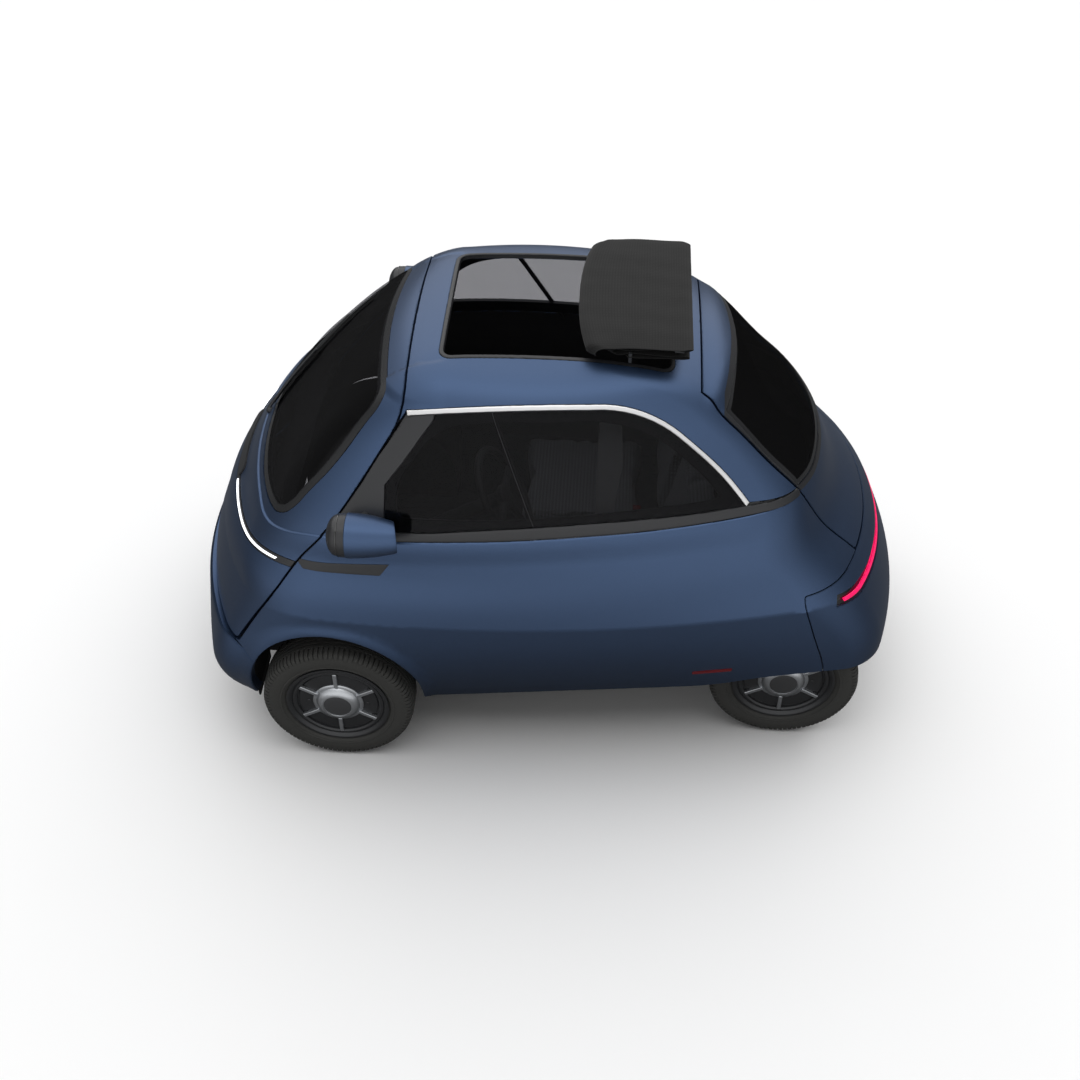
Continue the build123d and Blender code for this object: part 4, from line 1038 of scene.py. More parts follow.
def pane_bar():
    """The dark bar behind the joint of the two side panes."""
    split = [(x + shift, z) for shift, line in ((-8, PANE_SPLIT), (8, PANE_SPLIT[::-1])) for x, z in line]
    return shell_solid(
        egg, [Cut(SIDE, split, True), Cut(SIDE, below_strip(-STRIP_HALF), True)], 7.0, lift=-8.5,
        ease=1.0, finest=5.0, growth=0.9
    )


def on_both_sides(name, solid, looks, nodes=(), slot=None, body="car"):
    """A left-hand piece and its mirror image, as two pieces."""
    for hand, shape in (("left", solid), ("right", solid.mirrored())):
        full = f"{name}_{hand}"
        panel(full, shape, looks, body, [f"{n}_{hand}" for n in nodes], slot)


def domed(outline, axes, height, half):
    """A shift that raises the middle of a narrow band by height, falling to its edges half away."""

    def shift(points):
        distance, _ = outline_distance(points[:, axes], outline)
        share = np.clip(1 + distance / half, 0, 1)
        return height * np.sqrt(np.maximum(1 - share**2, 0))

    return shift


def build_trim(look):
    """Waist strips, bright strips over the windows, light bars, badge strips and reflectors."""
    belt = [*BELT_LOW, *BELT_HIGH]
    strip_area = [*strip_curve(STRIP_HALF - 0.3), *strip_curve(0.3 - STRIP_HALF)[::-1]]
    belt_solid = shell_solid(
        reshaped(egg, domed(belt, SIDE, 2.0, 10.0)),
        [Cut(SIDE, belt, True), Cut(SIDE, BODY_SIDE, True), HATCH_OUT], 8.0, lift=1.5, ease=1.5,
        finest=4.0, growth=0.9
    )
    sail = shell_solid(
        egg,
        [
            Cut(SIDE, SAIL, True), Cut(SIDE, BODY_SIDE, True),
            Cut(SIDE, below_strip(-STRIP_HALF - SEAT_GAP), True)
        ],
        7.0, lift=-0.5, ease=1.5, finest=4.0, growth=0.9
    )
    arm = tube([(-559, -560, 1069), (-559, -600, 1077.5), (-559, -640, 1086), (-559, -672, 1093)], 13.0, 20)
    on_both_sides("belt_trim", belt_solid + sail + arm, ("black",) * 4, ["belt_trim"], "black_trim")
    chrome = shell_solid(
        reshaped(egg, domed(strip_area, SIDE, 3.0, STRIP_HALF)),
        [Cut(SIDE, strip_area, True), Cut(SIDE, [*BELT_LOW, *((x, z + 0.5) for x, z in BELT_HIGH)], False)],
        7.0, lift=0.0, ease=1.0, finest=3.0, growth=0.6
    )
    on_both_sides("window_chrome", chrome, ("chrome",) * 3, ["window_chrome"], "chrome")

    black = shell_solid(
        egg, [Cut(END, mirrored_outline(narrowed_bar(1.0)), True, *NOSE_ONLY), DOOR_IN], 16.0, ease=1.5,
        finest=3.0, growth=0.6
    )
    lit = shell_solid(
        reshaped(egg, domed(BAR, END, 2.0, 5.5)),
        [
            Cut(END, mirrored_outline(narrowed_bar(8.3)), True, *NOSE_ONLY), DOOR_IN,
            Cut(END, round_rectangle(LIT, (700, 1000), 3.0), True),
            Cut(END, round_rectangle(LIT_BREAK, (700, 1000), 0.5), False)
        ],
        6.0, lift=0.8, ease=1.5, finest=2.5, growth=0.6
    )
    lit.looks[:] = 3
    bar = black.joined_at_middle() + lit + lit.mirrored()
    panel(
        "front_light_bar_lens", bar, ("black", "black", "black", "led"), "door", ["front_light_bar"],
        "lamp_white"
    )

    handle = shell_solid(
        body_surface, [Cut(END, mirrored_outline(HANDLE, sharp=8), True, *NOSE_ONLY)], 14.0, lift=7.0,
        ease=5.0, finest=3.0, growth=0.7
    )
    panel("nose_handle", handle.joined_at_middle(), ("black",) * 3, "door")

    low, high, half, corner = SUNROOF
    opening = round_rectangle((low + 1, high - 1), (1 - half, half - 1), corner - 1)
    inner = round_rectangle((low + 14, high - 14), (14 - half, half - 14), corner - 13)
    lip = shell_solid(
        egg, [Cut(PLAN, opening, True, *ROOF_ONLY), Cut(PLAN, inner, False, *ROOF_ONLY)], 16.0, lift=2.0,
        ease=4.0, finest=4.0, growth=0.9
    )
    panel("sunroof_seal", lip.joined_at_middle(), ("black",) * 3)

    badge = shell_solid(
        reshaped(body_surface, domed(BADGE, SIDE, 1.0, 12.0)),
        [Cut(SIDE, rounded(BADGE, sharp=3, smooth=0.1), True), Cut(SIDE, rounded(DOOR_CUT), False)], 3.0,
        lift=1.6, ease=1.0, finest=3.0, growth=0.8
    )
    on_both_sides("badge_strip", badge, ("black",) * 3)
    mark = shell_solid(
        body_surface, [Cut(SIDE, rounded(REFLECTOR, sharp=4), True)], 4.0, lift=2.6, ease=1.5, finest=3.0,
        growth=0.8
    )
    on_both_sides("side_reflector", mark, ("red", "black", "red"))

    housing = shell_solid(egg, [Cut(SIDE, LAMP, True)], 8.0, lift=-11.0, ease=1.0, finest=4.0, growth=0.8)
    lens = shell_solid(
        reshaped(egg, domed(LENS, SIDE, 3.0, 8.0)), [Cut(SIDE, rounded(LENS, sharp=8), True)], 14.0,
        lift=-2.0, ease=2.0, finest=3.5, growth=0.7
    )
    housing.looks[:] = 3
    lamp = (housing + lens).joined_at_middle()
    panel("tail_light_lens", lamp, ("tail", "tail", "tail", "gloss"), "car", ["tail_light_bar"], "lamp_red")


def narrowed_bar(shift):
    """The light bar's half outline, moved inward."""
    high = [(y, z - shift) for y, z in BAR_HIGH]
    low = [(y, z + shift) for y, z in BAR_LOW]
    return [*high, *low]


def grid_solid(grid, close_rows=False, close_columns=False, caps=True, look=0):
    """A Solid from a grid of points, rows by columns, with smooth normals."""
    rows, columns = grid.shape[:2]
    index = np.arange(rows * columns).reshape(rows, columns)
    if close_rows:
        index = np.concatenate([index, index[:1]])
    if close_columns:
        index = np.concatenate([index, index[:, :1]], 1)
    faces = grid_faces(index)
    points = grid.reshape(-1, 3)
    if caps and close_columns and not close_rows:
        for row, way in ((index[0, :-1], -1), (index[-1, :-1], 1)):
            middle = len(points)
            points = np.concatenate([points, points[row].mean(0, keepdims=True)])
            nexts = np.roll(row, -1)
            fan = np.stack([np.full(len(row), middle), row, nexts], 1)
            faces = np.concatenate([faces, fan[:, ::way]])
    return smooth_solid(points, faces, look)


def smooth_solid(points, faces, look=0, sharp=40.0):
    """A Solid whose corner normals are smooth except over edges sharper than sharp degrees."""
    a, b, c = points[faces].transpose(1, 0, 2)
    flat = np.cross(b - a, c - a)
    volume = (a * np.cross(b, c)).sum()
    if volume < 0:
        faces = faces[:, ::-1]
        flat = -flat
    unit = unit_rows(flat)
    corner = np.zeros((len(faces), 3, 3))
    order = np.argsort(faces.ravel(), kind="stable")
    owners = order // 3
    starts = np.searchsorted(faces.ravel()[order], np.arange(len(points) + 1))
    limit = math.cos(math.radians(sharp))
    for k in range(len(points)):
        around = owners[starts[k] : starts[k + 1]]
        if not len(around):
            continue
        close = unit[around] @ unit[around].T > limit
        sums = unit_rows(close @ flat[around])
        corner[around, order[starts[k] : starts[k + 1]] % 3] = sums
    return Solid(points, faces, corner, np.full(len(faces), look), np.zeros(len(points)))


def turned(profile, centre, axis, count, look=0):
    """A solid turned from a closed profile of (along, radius) about an axis through centre."""
    profile = np.asarray(profile, float)
    axis = np.asarray(axis, float) / np.linalg.norm(axis)
    side = np.cross(axis, (0.0, 0.0, 1.0) if abs(axis[2]) < 0.9 else (1.0, 0.0, 0.0))
    side /= np.linalg.norm(side)
    up = np.cross(axis, side)
    angles = np.linspace(0, 2 * math.pi, count, endpoint=False)
    ring = np.cos(angles)[:, None] * side + np.sin(angles)[:, None] * up
    grid = profile[None, :, 1, None] * ring[:, None] + profile[None, :, 0, None] * axis
    grid = grid + np.asarray(centre, float)
    return grid_solid(grid, close_rows=True, close_columns=True, look=look)


def on_axle(profile, count, look=0):
    """A solid turned about the Y axis through the origin."""
    return turned(profile, (0, 0, 0), (0, 1, 0), count, look)


def tube(path, radius, count, look=0):
    """A round bar along a path."""
    path = np.asarray(path, float)
    along = np.gradient(path, axis=0)
    along = unit_rows(along)
    side = unit_rows(np.cross(along, (0.0, 0.0, 1.0)) + 1e-9)
    up = np.cross(side, along)
    radii = np.broadcast_to(radius, len(path))[:, None, None]
    angles = np.linspace(0, 2 * math.pi, count, endpoint=False)[None, :, None]
    grid = path[:, None] + radii * (np.cos(angles) * side[:, None] + np.sin(angles) * up[:, None])
    return grid_solid(grid, close_columns=True, look=look)


def mesh_arrays(mesh):
    """The points and triangles of a mesh, which is then removed."""
    points = np.empty(len(mesh.vertices) * 3)
    mesh.vertices.foreach_get("co", points)
    mesh.calc_loop_triangles()
    faces = np.empty(len(mesh.loop_triangles) * 3, np.int32)
    mesh.loop_triangles.foreach_get("vertices", faces)
    bpy.data.meshes.remove(mesh)
    return points.reshape(-1, 3), faces.reshape(-1, 3).astype(int)


def soft_box(low, high, ease, look=0):
    """A box with eased edges between two corners."""
    return smooth_solid(*mesh_arrays(eased_box(low, high, ease)), look, sharp=50.0)


def eased_box(low, high, ease):
    """A mesh of a box with eased edges, triangulated."""
    mesh = bpy.data.meshes.new("box")
    box = bmesh.new()
    bmesh.ops.create_cube(box, size=1.0)
    middle = (np.array(low, float) + high) / 2
    size = np.abs(np.array(high, float) - low)
    for corner in box.verts:
        corner.co = Vector(middle + size * np.array(corner.co))
    bmesh.ops.bevel(
        box, geom=box.edges[:], offset=min(ease, 0.45 * size.min()), segments=3, profile=0.5, affect="EDGES"
    )
    bmesh.ops.triangulate(box, faces=box.faces[:])
    box.to_mesh(mesh)
    box.free()
    return mesh


# ---------------------------------------------------------------- wheels
TYRE_R = 266.0
FRONT_WHEEL = (-709.0, 648.5)
REAR_WHEEL = (857.0, 451.5)


def ring_of_copies(name, source, count, looks):
    """Copies of a piece turned about the Y axis, made by a node tree with named inputs."""
    tree = bpy.data.node_groups.new(name, "GeometryNodeTree")
    face = tree.interface
    face.new_socket("Geometry", in_out="OUTPUT", socket_type="NodeSocketGeometry")
    face.new_socket("Geometry", in_out="INPUT", socket_type="NodeSocketGeometry")
    inputs = {}
    kinds = {"Piece": "NodeSocketObject", "Count": "NodeSocketInt", "Finish": "NodeSocketMaterial"}
    for label, kind in kinds.items():
        inputs[label] = face.new_socket(label, in_out="INPUT", socket_type=kind).identifier
    entry = node(tree, "NodeGroupInput")
    last = node(tree, "NodeGroupOutput")
    piece = node(tree, "GeometryNodeObjectInfo", {"Object": entry.outputs["Piece"]})
    marks = node(tree, "GeometryNodeMeshLine", {"Count": entry.outputs["Count"], "Offset": (0, 0, 0)})
    number = node(tree, "GeometryNodeInputIndex")
    share = node(
        tree, "ShaderNodeMath", {0: number.outputs[0], 1: entry.outputs["Count"]}, operation="DIVIDE"
    )
    angle = node(tree, "ShaderNodeMath", {0: share.outputs[0], 1: 2 * math.pi}, operation="MULTIPLY")
    turn = node(tree, "ShaderNodeCombineXYZ", {"Y": angle.outputs[0]})
    copies = node(
        tree, "GeometryNodeInstanceOnPoints",
        {"Points": marks.outputs[0], "Instance": piece.outputs["Geometry"], "Rotation": turn.outputs[0]}
    )
    real = node(tree, "GeometryNodeRealizeInstances", {0: copies.outputs[0]})
    finish = node(
        tree, "GeometryNodeSetMaterial", {"Geometry": real.outputs[0], "Material": entry.outputs["Finish"]}
    )
    tree.links.new(finish.outputs[0], last.inputs[0])
    holder = bpy.data.objects.new(name, bpy.data.meshes.new(name))
    bpy.context.scene.collection.objects.link(holder)
    modifier = holder.modifiers.new(name, "NODES")
    modifier.node_group = tree
    modifier[inputs["Piece"]] = source
    modifier[inputs["Count"]] = count
    modifier[inputs["Finish"]] = looks
    bpy.context.view_layer.update()
    mesh = bpy.data.meshes.new_from_object(holder.evaluated_get(bpy.context.evaluated_depsgraph_get()))
    holder.modifiers.clear()
    bpy.data.objects.remove(holder)
    points, faces = mesh_arrays(mesh)
    return points / MM, faces


def copies_around(name, solid, count, finish, look=0):
    """A Solid repeated count times about the Y axis through the origin."""
    source = bpy.data.objects.new(f"{name}_piece", solid_mesh(f"{name}_piece", solid, (finish,)))
    bpy.context.scene.collection.objects.link(source)
    points, faces = ring_of_copies(name, source, count, LOOKS[finish])
    bpy.data.objects.remove(source)
    return smooth_solid(points, faces, look, sharp=35.0)


TREAD = [
    (-70.5, 236), (-70.5, 247), (-66, 256), (-56, 261.5), (-44, 263.5), (-30, 265), (-30, 256), (-50, 250)
]


def tread_block(side, thick):
    """One shoulder block of the tread, at the top of the tyre."""
    profile = np.array(TREAD) * (side, 1.0)
    grid = np.stack(
        [
            np.stack([np.full(len(profile), x), profile[:, 0], profile[:, 1]], 1)
            for x in (-thick / 2, -thick / 2 + 1.0, thick / 2 - 1.0, thick / 2)
        ]
    )
    middle = grid.mean(1, keepdims=True)
    grid[[0, -1]] = middle[[0, -1]] + (grid[[0, -1]] - middle[[0, -1]]) * 0.96
    return grid_solid(grid, close_columns=True)


def tyre_solid(blocks):
    """A tyre about the Y axis through the origin: carcass, ribs and shoulder blocks."""
    carcass = [(-56, 168), (-57, 184), (-66, 192), (-71, 203), (-72.5, 218), (-71.5, 236), (-66, 247)]
    carcass += [(-58, 254), (-46, 257.5), (-28, 259)]
    for y in (-24, -8, 8, 24):
        carcass += [(y - 5.5, 259), (y - 5, 265.6), (y + 5, 265.6), (y + 5.5, 259)]
    carcass += [(-y, r) for y, r in reversed(carcass[:10])]
    solid = on_axle(carcass, 120)
    left = copies_around("left_shoulder", tread_block(1, 12.4), blocks, "rubber")
    right = copies_around("right_shoulder", tread_block(-1, 12.4), blocks, "rubber")
    bead = on_axle([(-70.6, 196), (-72.6, 198), (-72.6, 201), (-70.6, 203)], 96)
    return solid + left + right + bead


def rim_solid(spokes):
    """A rim about the Y axis, with its face towards -Y: barrel, dark disc, spokes, hub and cap."""
    barrel = [(-64, 172), (-65, 176), (-64, 181), (-58, 181), (-56, 168), (56, 168), (58, 181), (64, 181)]
    barrel += [(64, 172), (50, 160), (-50, 160), (-58, 164)]
    disc = [(-40, 161), (-50, 164), (-56, 160), (-57, 152), (-53, 146), (-44, 145), (-43, 141), (-47, 138)]
    disc += [(-48, 110), (-46, 80), (-46, 40), (-30, 40), (-30, 158)]
    hub = [
        (-44, 60), (-46, 88), (-51, 89), (-54, 84), (-55, 77), (-60, 74), (-67, 68), (-72, 58), (-73, 51),
        (-70, 50)
    ]
    hub += [(-64, 20), (-2, 20.1), (-2, 50), (-20, 50), (-30, 60)]
    cap = [(-40, 0.01), (-73, 0.01), (-72.6, 30), (-71.5, 46), (-69, 50), (-40, 50)]
    rim = on_axle(barrel, 96, look=1)
    rim = rim + on_axle(disc, 96, look=1)
    rim = rim + on_axle(hub, 72, look=0)
    rim = rim + on_axle(cap, 64, look=2)
    spoke = soft_box((-7.0, -59.0, 80.0), (7.0, -44.0, 149.0), 2.5)
    rim = rim + copies_around("wheel_spokes", spoke, spokes, "alloy", look=0)
    notch = soft_box((-10.0, -52.0, 128.0), (10.0, -46.0, 140.0), 2.0, look=1)
    rim = rim + copies_around("spoke_feet", notch, spokes, "dark_alloy", look=1)
    bolt = turned([(-46, 0.01), (-51, 0.01), (-51, 5), (-49.5, 6.5), (-46, 6.5)], (0, 0, 104), (0, 1, 0), 12)
    return rim + copies_around("wheel_bolts", bolt, 4, "dark_alloy", look=1)


def shifted(solid, x, y, z):
    """The same solid, moved."""
    return Solid(solid.points + np.array([x, y, z]), solid.faces, solid.normals, solid.looks, solid.edge)


def build_wheels(look):
    """Tyres and rims of the four wheels."""
    tyre, rim = tyre_solid(look.tread_blocks), rim_solid(look.spokes)
    for name, (x, y), bodies in (
        ("front", FRONT_WHEEL, {"left": "wheel_fl", "right": "wheel_fr"}),
        ("rear", REAR_WHEEL, {"left": "wheel_rl", "right": "wheel_rr"}),
    ):
        for hand, side in (("left", -1), ("right", 1)):
            for part, solid, looks, slot in (
                ("tyre", tyre, ("rubber",), "tyre"),
                ("rim", rim, ("alloy", "dark_alloy", "cap"), "alloy"),
            ):
                placed = shifted(solid, x, -y, TYRE_R)
                if side > 0:
                    placed = placed.mirrored()
                full = f"{part}_{name}_{hand}"
                panel(f"{full}_shown", placed, looks, bodies[hand], [full], slot)


# ---------------------------------------------------------------- pods, wiper, roof and cabin
POD = (-554.0, -710.0, 1081.0)
MIRROR_TURN = 0.22
SEAT_LEAN = 13


def build_pods(look):
    """Mirror pods on their arms, with the round lamps in front."""
    body = [(-47, 0.01), (-47, 69.5), (-44.5, 71.8), (-20, 71), (10, 68.6), (40, 65), (70, 60), (95, 55)]
    body += [(109, 51.5), (115, 48.5), (116, 45.5), (113, 44), (108, 43.5), (108, 0.01)]
    pod = turned(body, POD, (1, 0, 0), 72)
    # the mirror glass takes the gloss black: a real mirror whose black is painted shade for the pod's dark
    # rear face
    mirror = turned([(104, 0.01), (110, 0.01), (110, 43), (104, 43)], POD, (1, 0, 0), 64, look=1)
    pod = pod + mirror
    rear = ramp(pod.points[:, 0] - POD[0], 20, 105)
    pod.points[:, 0] -= MIRROR_TURN * rear * (pod.points[:, 1] - POD[1] + 48)
    on_both_sides("mirror_pod", pod, ("paint", "gloss"), ["mirror_pod"], "body_paint")
    cap = [(-47, 0.01), (-47, 69.5), (-60, 69.3), (-72, 67.5)]
    cap += [(-76 - 36 * math.sin(a), 66 * math.cos(a)) for a in np.linspace(0, math.pi / 2, 14)[:-1]]
    cap += [(-112, 0.01)]
    lens = turned(cap, POD, (1, 0, 0), 72)
    ring = turned([(-72, 67), (-73.5, 68.6), (-70.5, 68.9), (-69, 67)], POD, (1, 0, 0), 72, look=1)
    on_both_sides("headlamp", lens + ring, ("black", "gloss"), ["headlamp"], "black_trim")


def on_front(y, z, lift):
    """The point of the body's front at y and z, lifted off the surface."""
    t = np.linspace(0, KNOTS[-1], 4000)
    heights = egg(np.zeros(len(t)), t)[:, 2]
    t0 = np.interp(z, heights, t)
    low, high = 0.0, 2.0
    for _ in range(40):
        middle = (low + high) / 2
        if -egg(np.array([middle]), np.array([t0]))[0, 1] < abs(y):
            low = middle
        else:
            high = middle
    point, normal = with_normals(egg, np.array([low]), np.array([t0]))
    point = point[0] + lift * normal[0]
    if y > 0:
        point[1] = -point[1]
    return point


def build_wiper(look):
    """One wiper: a pivot on the cowl, a flat arm and a blade."""
    line = [on_front(y, z, 11.0) for y, z in zip(np.linspace(48, 150, 12), np.linspace(968, 1160, 12))]
    arm = tube(line, np.linspace(6.0, 3.5, 12), 12)
    blade_line = [on_front(y, z, 5.0) for y, z in zip(np.linspace(66, 248, 24), np.linspace(985, 1322, 24))]
    blade = tube(blade_line, 3.5, 10)
    spine = tube([p + (on_front(0, 1100, 1) - on_front(0, 1100, 0)) * 5.0 for p in blade_line[4:-4]], 3.0, 10)
    tip = tube([line[-1], (line[-1] + np.array(blade_line[11])) / 2, blade_line[11]], 4.5, 10)
    foot, up = on_front(50, 965, 0.5), on_front(50, 965, 1.0) - on_front(50, 965, 0.0)
    pivot = turned([(0, 0.01), (0, 13), (8, 13), (13, 10), (14.5, 0.01)], foot, up, 32)
    solid = arm + blade + spine + tip + pivot
    panel("wiper_arm_and_blade", solid, ("black",), "door", ["wiper"], "black_trim")


def folded_roof_path():
    """The folded roof seen from the side, from the outer front edge to the hidden end."""
    path = [
        (103.0, 1521.0), (101.0, 1532.0), (110.0, 1543.0), (150.0, 1551.0), (220.0, 1554.5),
        (300.0, 1555.5)
    ]
    path += [
        (400.0, 1552.5), (440.0, 1547.5), (450.0, 1540.0), (443.0, 1533.5), (400.0, 1533.0),
        (300.0, 1532.0)
    ]
    path += [
        (200.0, 1530.0), (168.0, 1528.0), (161.0, 1522.5), (168.0, 1517.5), (220.0, 1516.5),
        (320.0, 1515.5)
    ]
    path += [
        (420.0, 1513.5), (438.0, 1510.5), (441.0, 1505.5), (434.0, 1502.0), (390.0, 1500.5),
        (300.0, 1501.0)
    ]
    return [*path, (230.0, 1501.5)]


def build_roof(look):
    """The canvas roof folded back on itself, over its bows."""
    path = np.array(folded_roof_path())
    steps = np.concatenate([[0], np.cumsum(np.linalg.norm(np.diff(path, axis=0), axis=1))])
    fine = np.linspace(0, steps[-1], 260)
    line = spline_weights(steps, fine) @ path
    across = np.sin(np.linspace(-1, 1, 73) * math.pi / 2)
    along = np.gradient(line, axis=0)
    up = np.stack([-along[:, 1], along[:, 0]], 1)
    up /= np.linalg.norm(up, axis=1, keepdims=True)
    pull = 0.9 * np.sin(fine / 41.0)[:, None] * np.cos(across * 5.5)
    pull = pull + 0.6 * np.sin(across * 19.0 + fine[:, None] / 90)
    top = 1 - ramp(fine, 330, 380)
    side = np.abs(across)
    bow_shape = -14.0 + 38.0 * side**2.5 + 22.0 * ramp(side, 0.9, 1.0) ** 2
    forward = (1 - ramp(line[:, 0], 100, 330))[:, None] * bow_shape[None]
    droop = -7.0 * side[None] ** 6 * top[:, None]
    half = TOP_HALF - 2.0 - 16.0 * (1 - top)
    layers = []
    for offset in (0.0, -2.2):
        x = line[:, 0, None] + (pull * 0.25 + offset) * up[:, 0, None] + forward
        z = line[:, 1, None] + (pull * 0.6 + offset) * up[:, 1, None] + droop
        y = half[:, None] * across[None]
        layers.append(np.stack([x, y, z], -1))
    solid = closed_sheet(layers)
    mesh = solid_mesh("folded_roof", solid, ("top",))
    uv = mesh.uv_layers.new(name="cloth")
    columns = len(across)
    flat_v = np.concatenate([fine, fine[::-1]]) * MM
    flat_u = across * TOP_HALF * MM
    index = solid.faces.ravel()
    uv.data.foreach_set("uv", np.stack([flat_u[index % columns], flat_v[index // columns]], 1).ravel())
    made = place("folded_roof", mesh, "car", ["soft_top"], "soft_top_fabric")
    bow = tube([(135.0, y, 1524.0 - 6.0 * abs(y / 300.0) ** 4) for y in np.linspace(-296, 296, 21)], 5.0, 12)
    rail = soft_box((392, -296, 1519), (424, 296, 1529), 4.0)
    links = soft_box((250, -300, 1478), (262, -288, 1520), 3.0)
    links = links + links.mirrored()
    bows = bow + rail + links
    panel("roof_bows", bows, ("steel",))


def closed_sheet(layers):
    """A thin closed sheet from its outer and inner grids of points."""
    grid = np.concatenate([layers[0], layers[1][::-1]])
    rows, columns = grid.shape[:2]
    index = np.arange(rows * columns).reshape(rows, columns)
    index = np.concatenate([index, index[:1]])
    faces = [grid_faces(index)]
    half = rows // 2
    for column, way in ((0, 1), (columns - 1, -1)):
        near, far = index[:half, column], index[rows - 1 : half - 1 : -1, column]
        faces.append(np.stack([near[:-1], near[1:], far[1:]], 1)[:, ::way])
        faces.append(np.stack([near[:-1], far[1:], far[:-1]], 1)[:, ::way])
    return smooth_solid(grid.reshape(-1, 3), np.concatenate(faces), 0, 60.0)


def stuffed(low, high, ease, crown, cell=22.0):
    """A cushion: a fine eased box whose faces are crowned, then filled out by a cloth simulation."""
    mesh = eased_box(low, high, ease)
    made = bpy.data.objects.new("cushion", mesh)
    mesh.transform(Matrix.Scale(MM, 4))
    bpy.context.scene.collection.objects.link(made)
    remesh = made.modifiers.new("remesh", "REMESH")
    remesh.mode = "VOXEL"
    remesh.voxel_size = cell * MM
    cloth = made.modifiers.new("cloth", "CLOTH")
    cloth.settings.use_pressure = True
    cloth.settings.uniform_pressure_force = crown
    cloth.settings.effector_weights.gravity = 0.0
    cloth.settings.quality = 4
    cloth.settings.tension_stiffness = cloth.settings.compression_stiffness = 15.0
    cloth.point_cache.frame_start, cloth.point_cache.frame_end = 1, 12
    scene = bpy.context.scene
    for step in range(1, 13):
        scene.frame_set(step)
    done = bpy.data.meshes.new_from_object(made.evaluated_get(bpy.context.evaluated_depsgraph_get()))
    scene.frame_set(1)
    bpy.data.objects.remove(made)
    points, faces = mesh_arrays(done)
    points = points / MM
    start = (np.array(low) + high) / 2
    reach = np.abs(points - start) - (np.array(high) - np.array(low)) / 2
    points -= np.sign(points - start) * np.clip(reach - 4.0, 0, None)
    return smooth_solid(points, faces, 0, 60.0)


def seat_mesh(name, solid):
    """A cushion's mesh, with a box-projected UV map for its cloth."""
    mesh = solid_mesh(name, solid, ("seat",))
    uv = mesh.uv_layers.new(name="cloth")
    a, b, c = solid.points[solid.faces].transpose(1, 0, 2)
    major = np.abs(np.cross(b - a, c - a)).argmax(1)
    axes = np.array([(1, 2), (0, 2), (0, 1)])[major]
    corners = solid.points[solid.faces] * MM
    flat = np.take_along_axis(corners, axes[:, None, :].repeat(3, 1), 2)
    uv.data.foreach_set("uv", flat.ravel())
    return mesh


def build_cabin(look):
    """Seats, steering wheel and the plain structure under the skins."""
    turn = np.array(Matrix.Rotation(math.radians(SEAT_LEAN), 3, "Y")).T
    for hand, side in (("left", -1), ("right", 1)):
        y = sorted((side * 8, side * 512))
        base = stuffed((-126, y[0], 404), (340, y[1], 536), 34.0, 3.0)
        made = place(f"seat_base_{hand}", seat_mesh(f"seat_base_{hand}", base), "car", slot="seat_fabric")
        y = sorted((side * 12, side * 424))
        back = stuffed((382, y[0], 548), (472, y[1], 1000), 34.0, 3.0)
        about = np.array([420.0, 0.0, 548.0])
        back = Solid(
            (back.points - about) @ turn + about, back.faces, back.normals @ turn, back.looks, back.edge
        )
        made = place(f"seat_back_{hand}", seat_mesh(f"seat_back_{hand}", back), "car", slot="seat_fabric")
    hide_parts("seat_cushion")
    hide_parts("seat_back")

    pillar = shell_solid(
        egg, [Cut(SIDE, PILLAR, True)], 6.0, lift=-58.0, ease=2.0, finest=6.0, growth=0.9
    )
    on_both_sides("pillar_trim", pillar, ("grey",) * 3)
    for hand, side in (("left", -1), ("right", 1)):
        y = sorted((side * 20, side * 44))
        buckle = soft_box((300, y[0], 520), (330, y[1], 590), 4.0)
        panel(f"belt_buckle_{hand}", buckle, ("red",))

    tilt = math.radians(30.0)
    hub, shaft = np.array((-150.0, -235.0, 850.0)), np.array((math.cos(tilt), 0.0, math.sin(tilt)))
    grip = turned([(13 * math.cos(a), 172 + 13 * math.sin(a)) for a in np.linspace(0, 2 * math.pi, 20)[:-1]],
                  hub, shaft, 96)
    boss = turned([(-14, 0.01), (-14, 34), (-4, 42), (8, 44), (14, 38), (17, 0.01)], hub, shaft, 48)
    rod = turned([(-108, 0.01), (-108, 10), (-10, 10), (-10, 0.01)], hub, shaft, 24)
    wheel = grip + boss + rod
    right, up = np.array((0.0, 1.0, 0.0)), np.array((-math.sin(tilt), 0.0, math.cos(tilt)))
    for angle in (0.0, math.pi, -math.pi / 2):
        way = math.cos(angle) * right + math.sin(angle) * up
        wheel = wheel + tube([hub + way * r for r in np.linspace(38, 166, 8)], np.linspace(14, 9, 8), 12)
    panel("steering_wheel_grip", wheel, ("dull",), "steering_wheel_body", ["steering_wheel"], "black_trim")
    for name, finish in (
        ("floor_pan", "lining"),
        ("wheel_housing_left", "dull"),
        ("wheel_housing_right", "dull"),
        ("door_dash", "dull"),
        ("parcel_shelf", "lining"),
        ("steering_column", "dull"),
        ("front_suspension", "steel"),
        ("rear_axle", "steel"),
        ("knuckle_left", "cast"),
        ("knuckle_right", "cast"),
        ("motor_block", "cast"),
        ("battery_block", "steel"),
    ):
        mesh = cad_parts[name].data
        mesh.materials.clear()
        mesh.materials.append(LOOKS[finish])


# ---------------------------------------------------------------- studio
CAMERA_AT = (0.19713, -3.92469, 4.10290)
ELEVATION = 43.0375
AZIMUTH = 3.4852
FOCAL = 47.549
LAMP_FROM = (0.0, 0.46, 1.0)
LAMP_SPREAD = 110.0
BRIGHT_SIDE = (0.0, -1.0, 0.0)
SKY_FADE = (-0.1, 0.9)
# Y marks in metres between which the floor's painted shadow of the car, seen only in reflections, fades
PAINTED_SHADOW_FADE = (-4.6, -0.5)
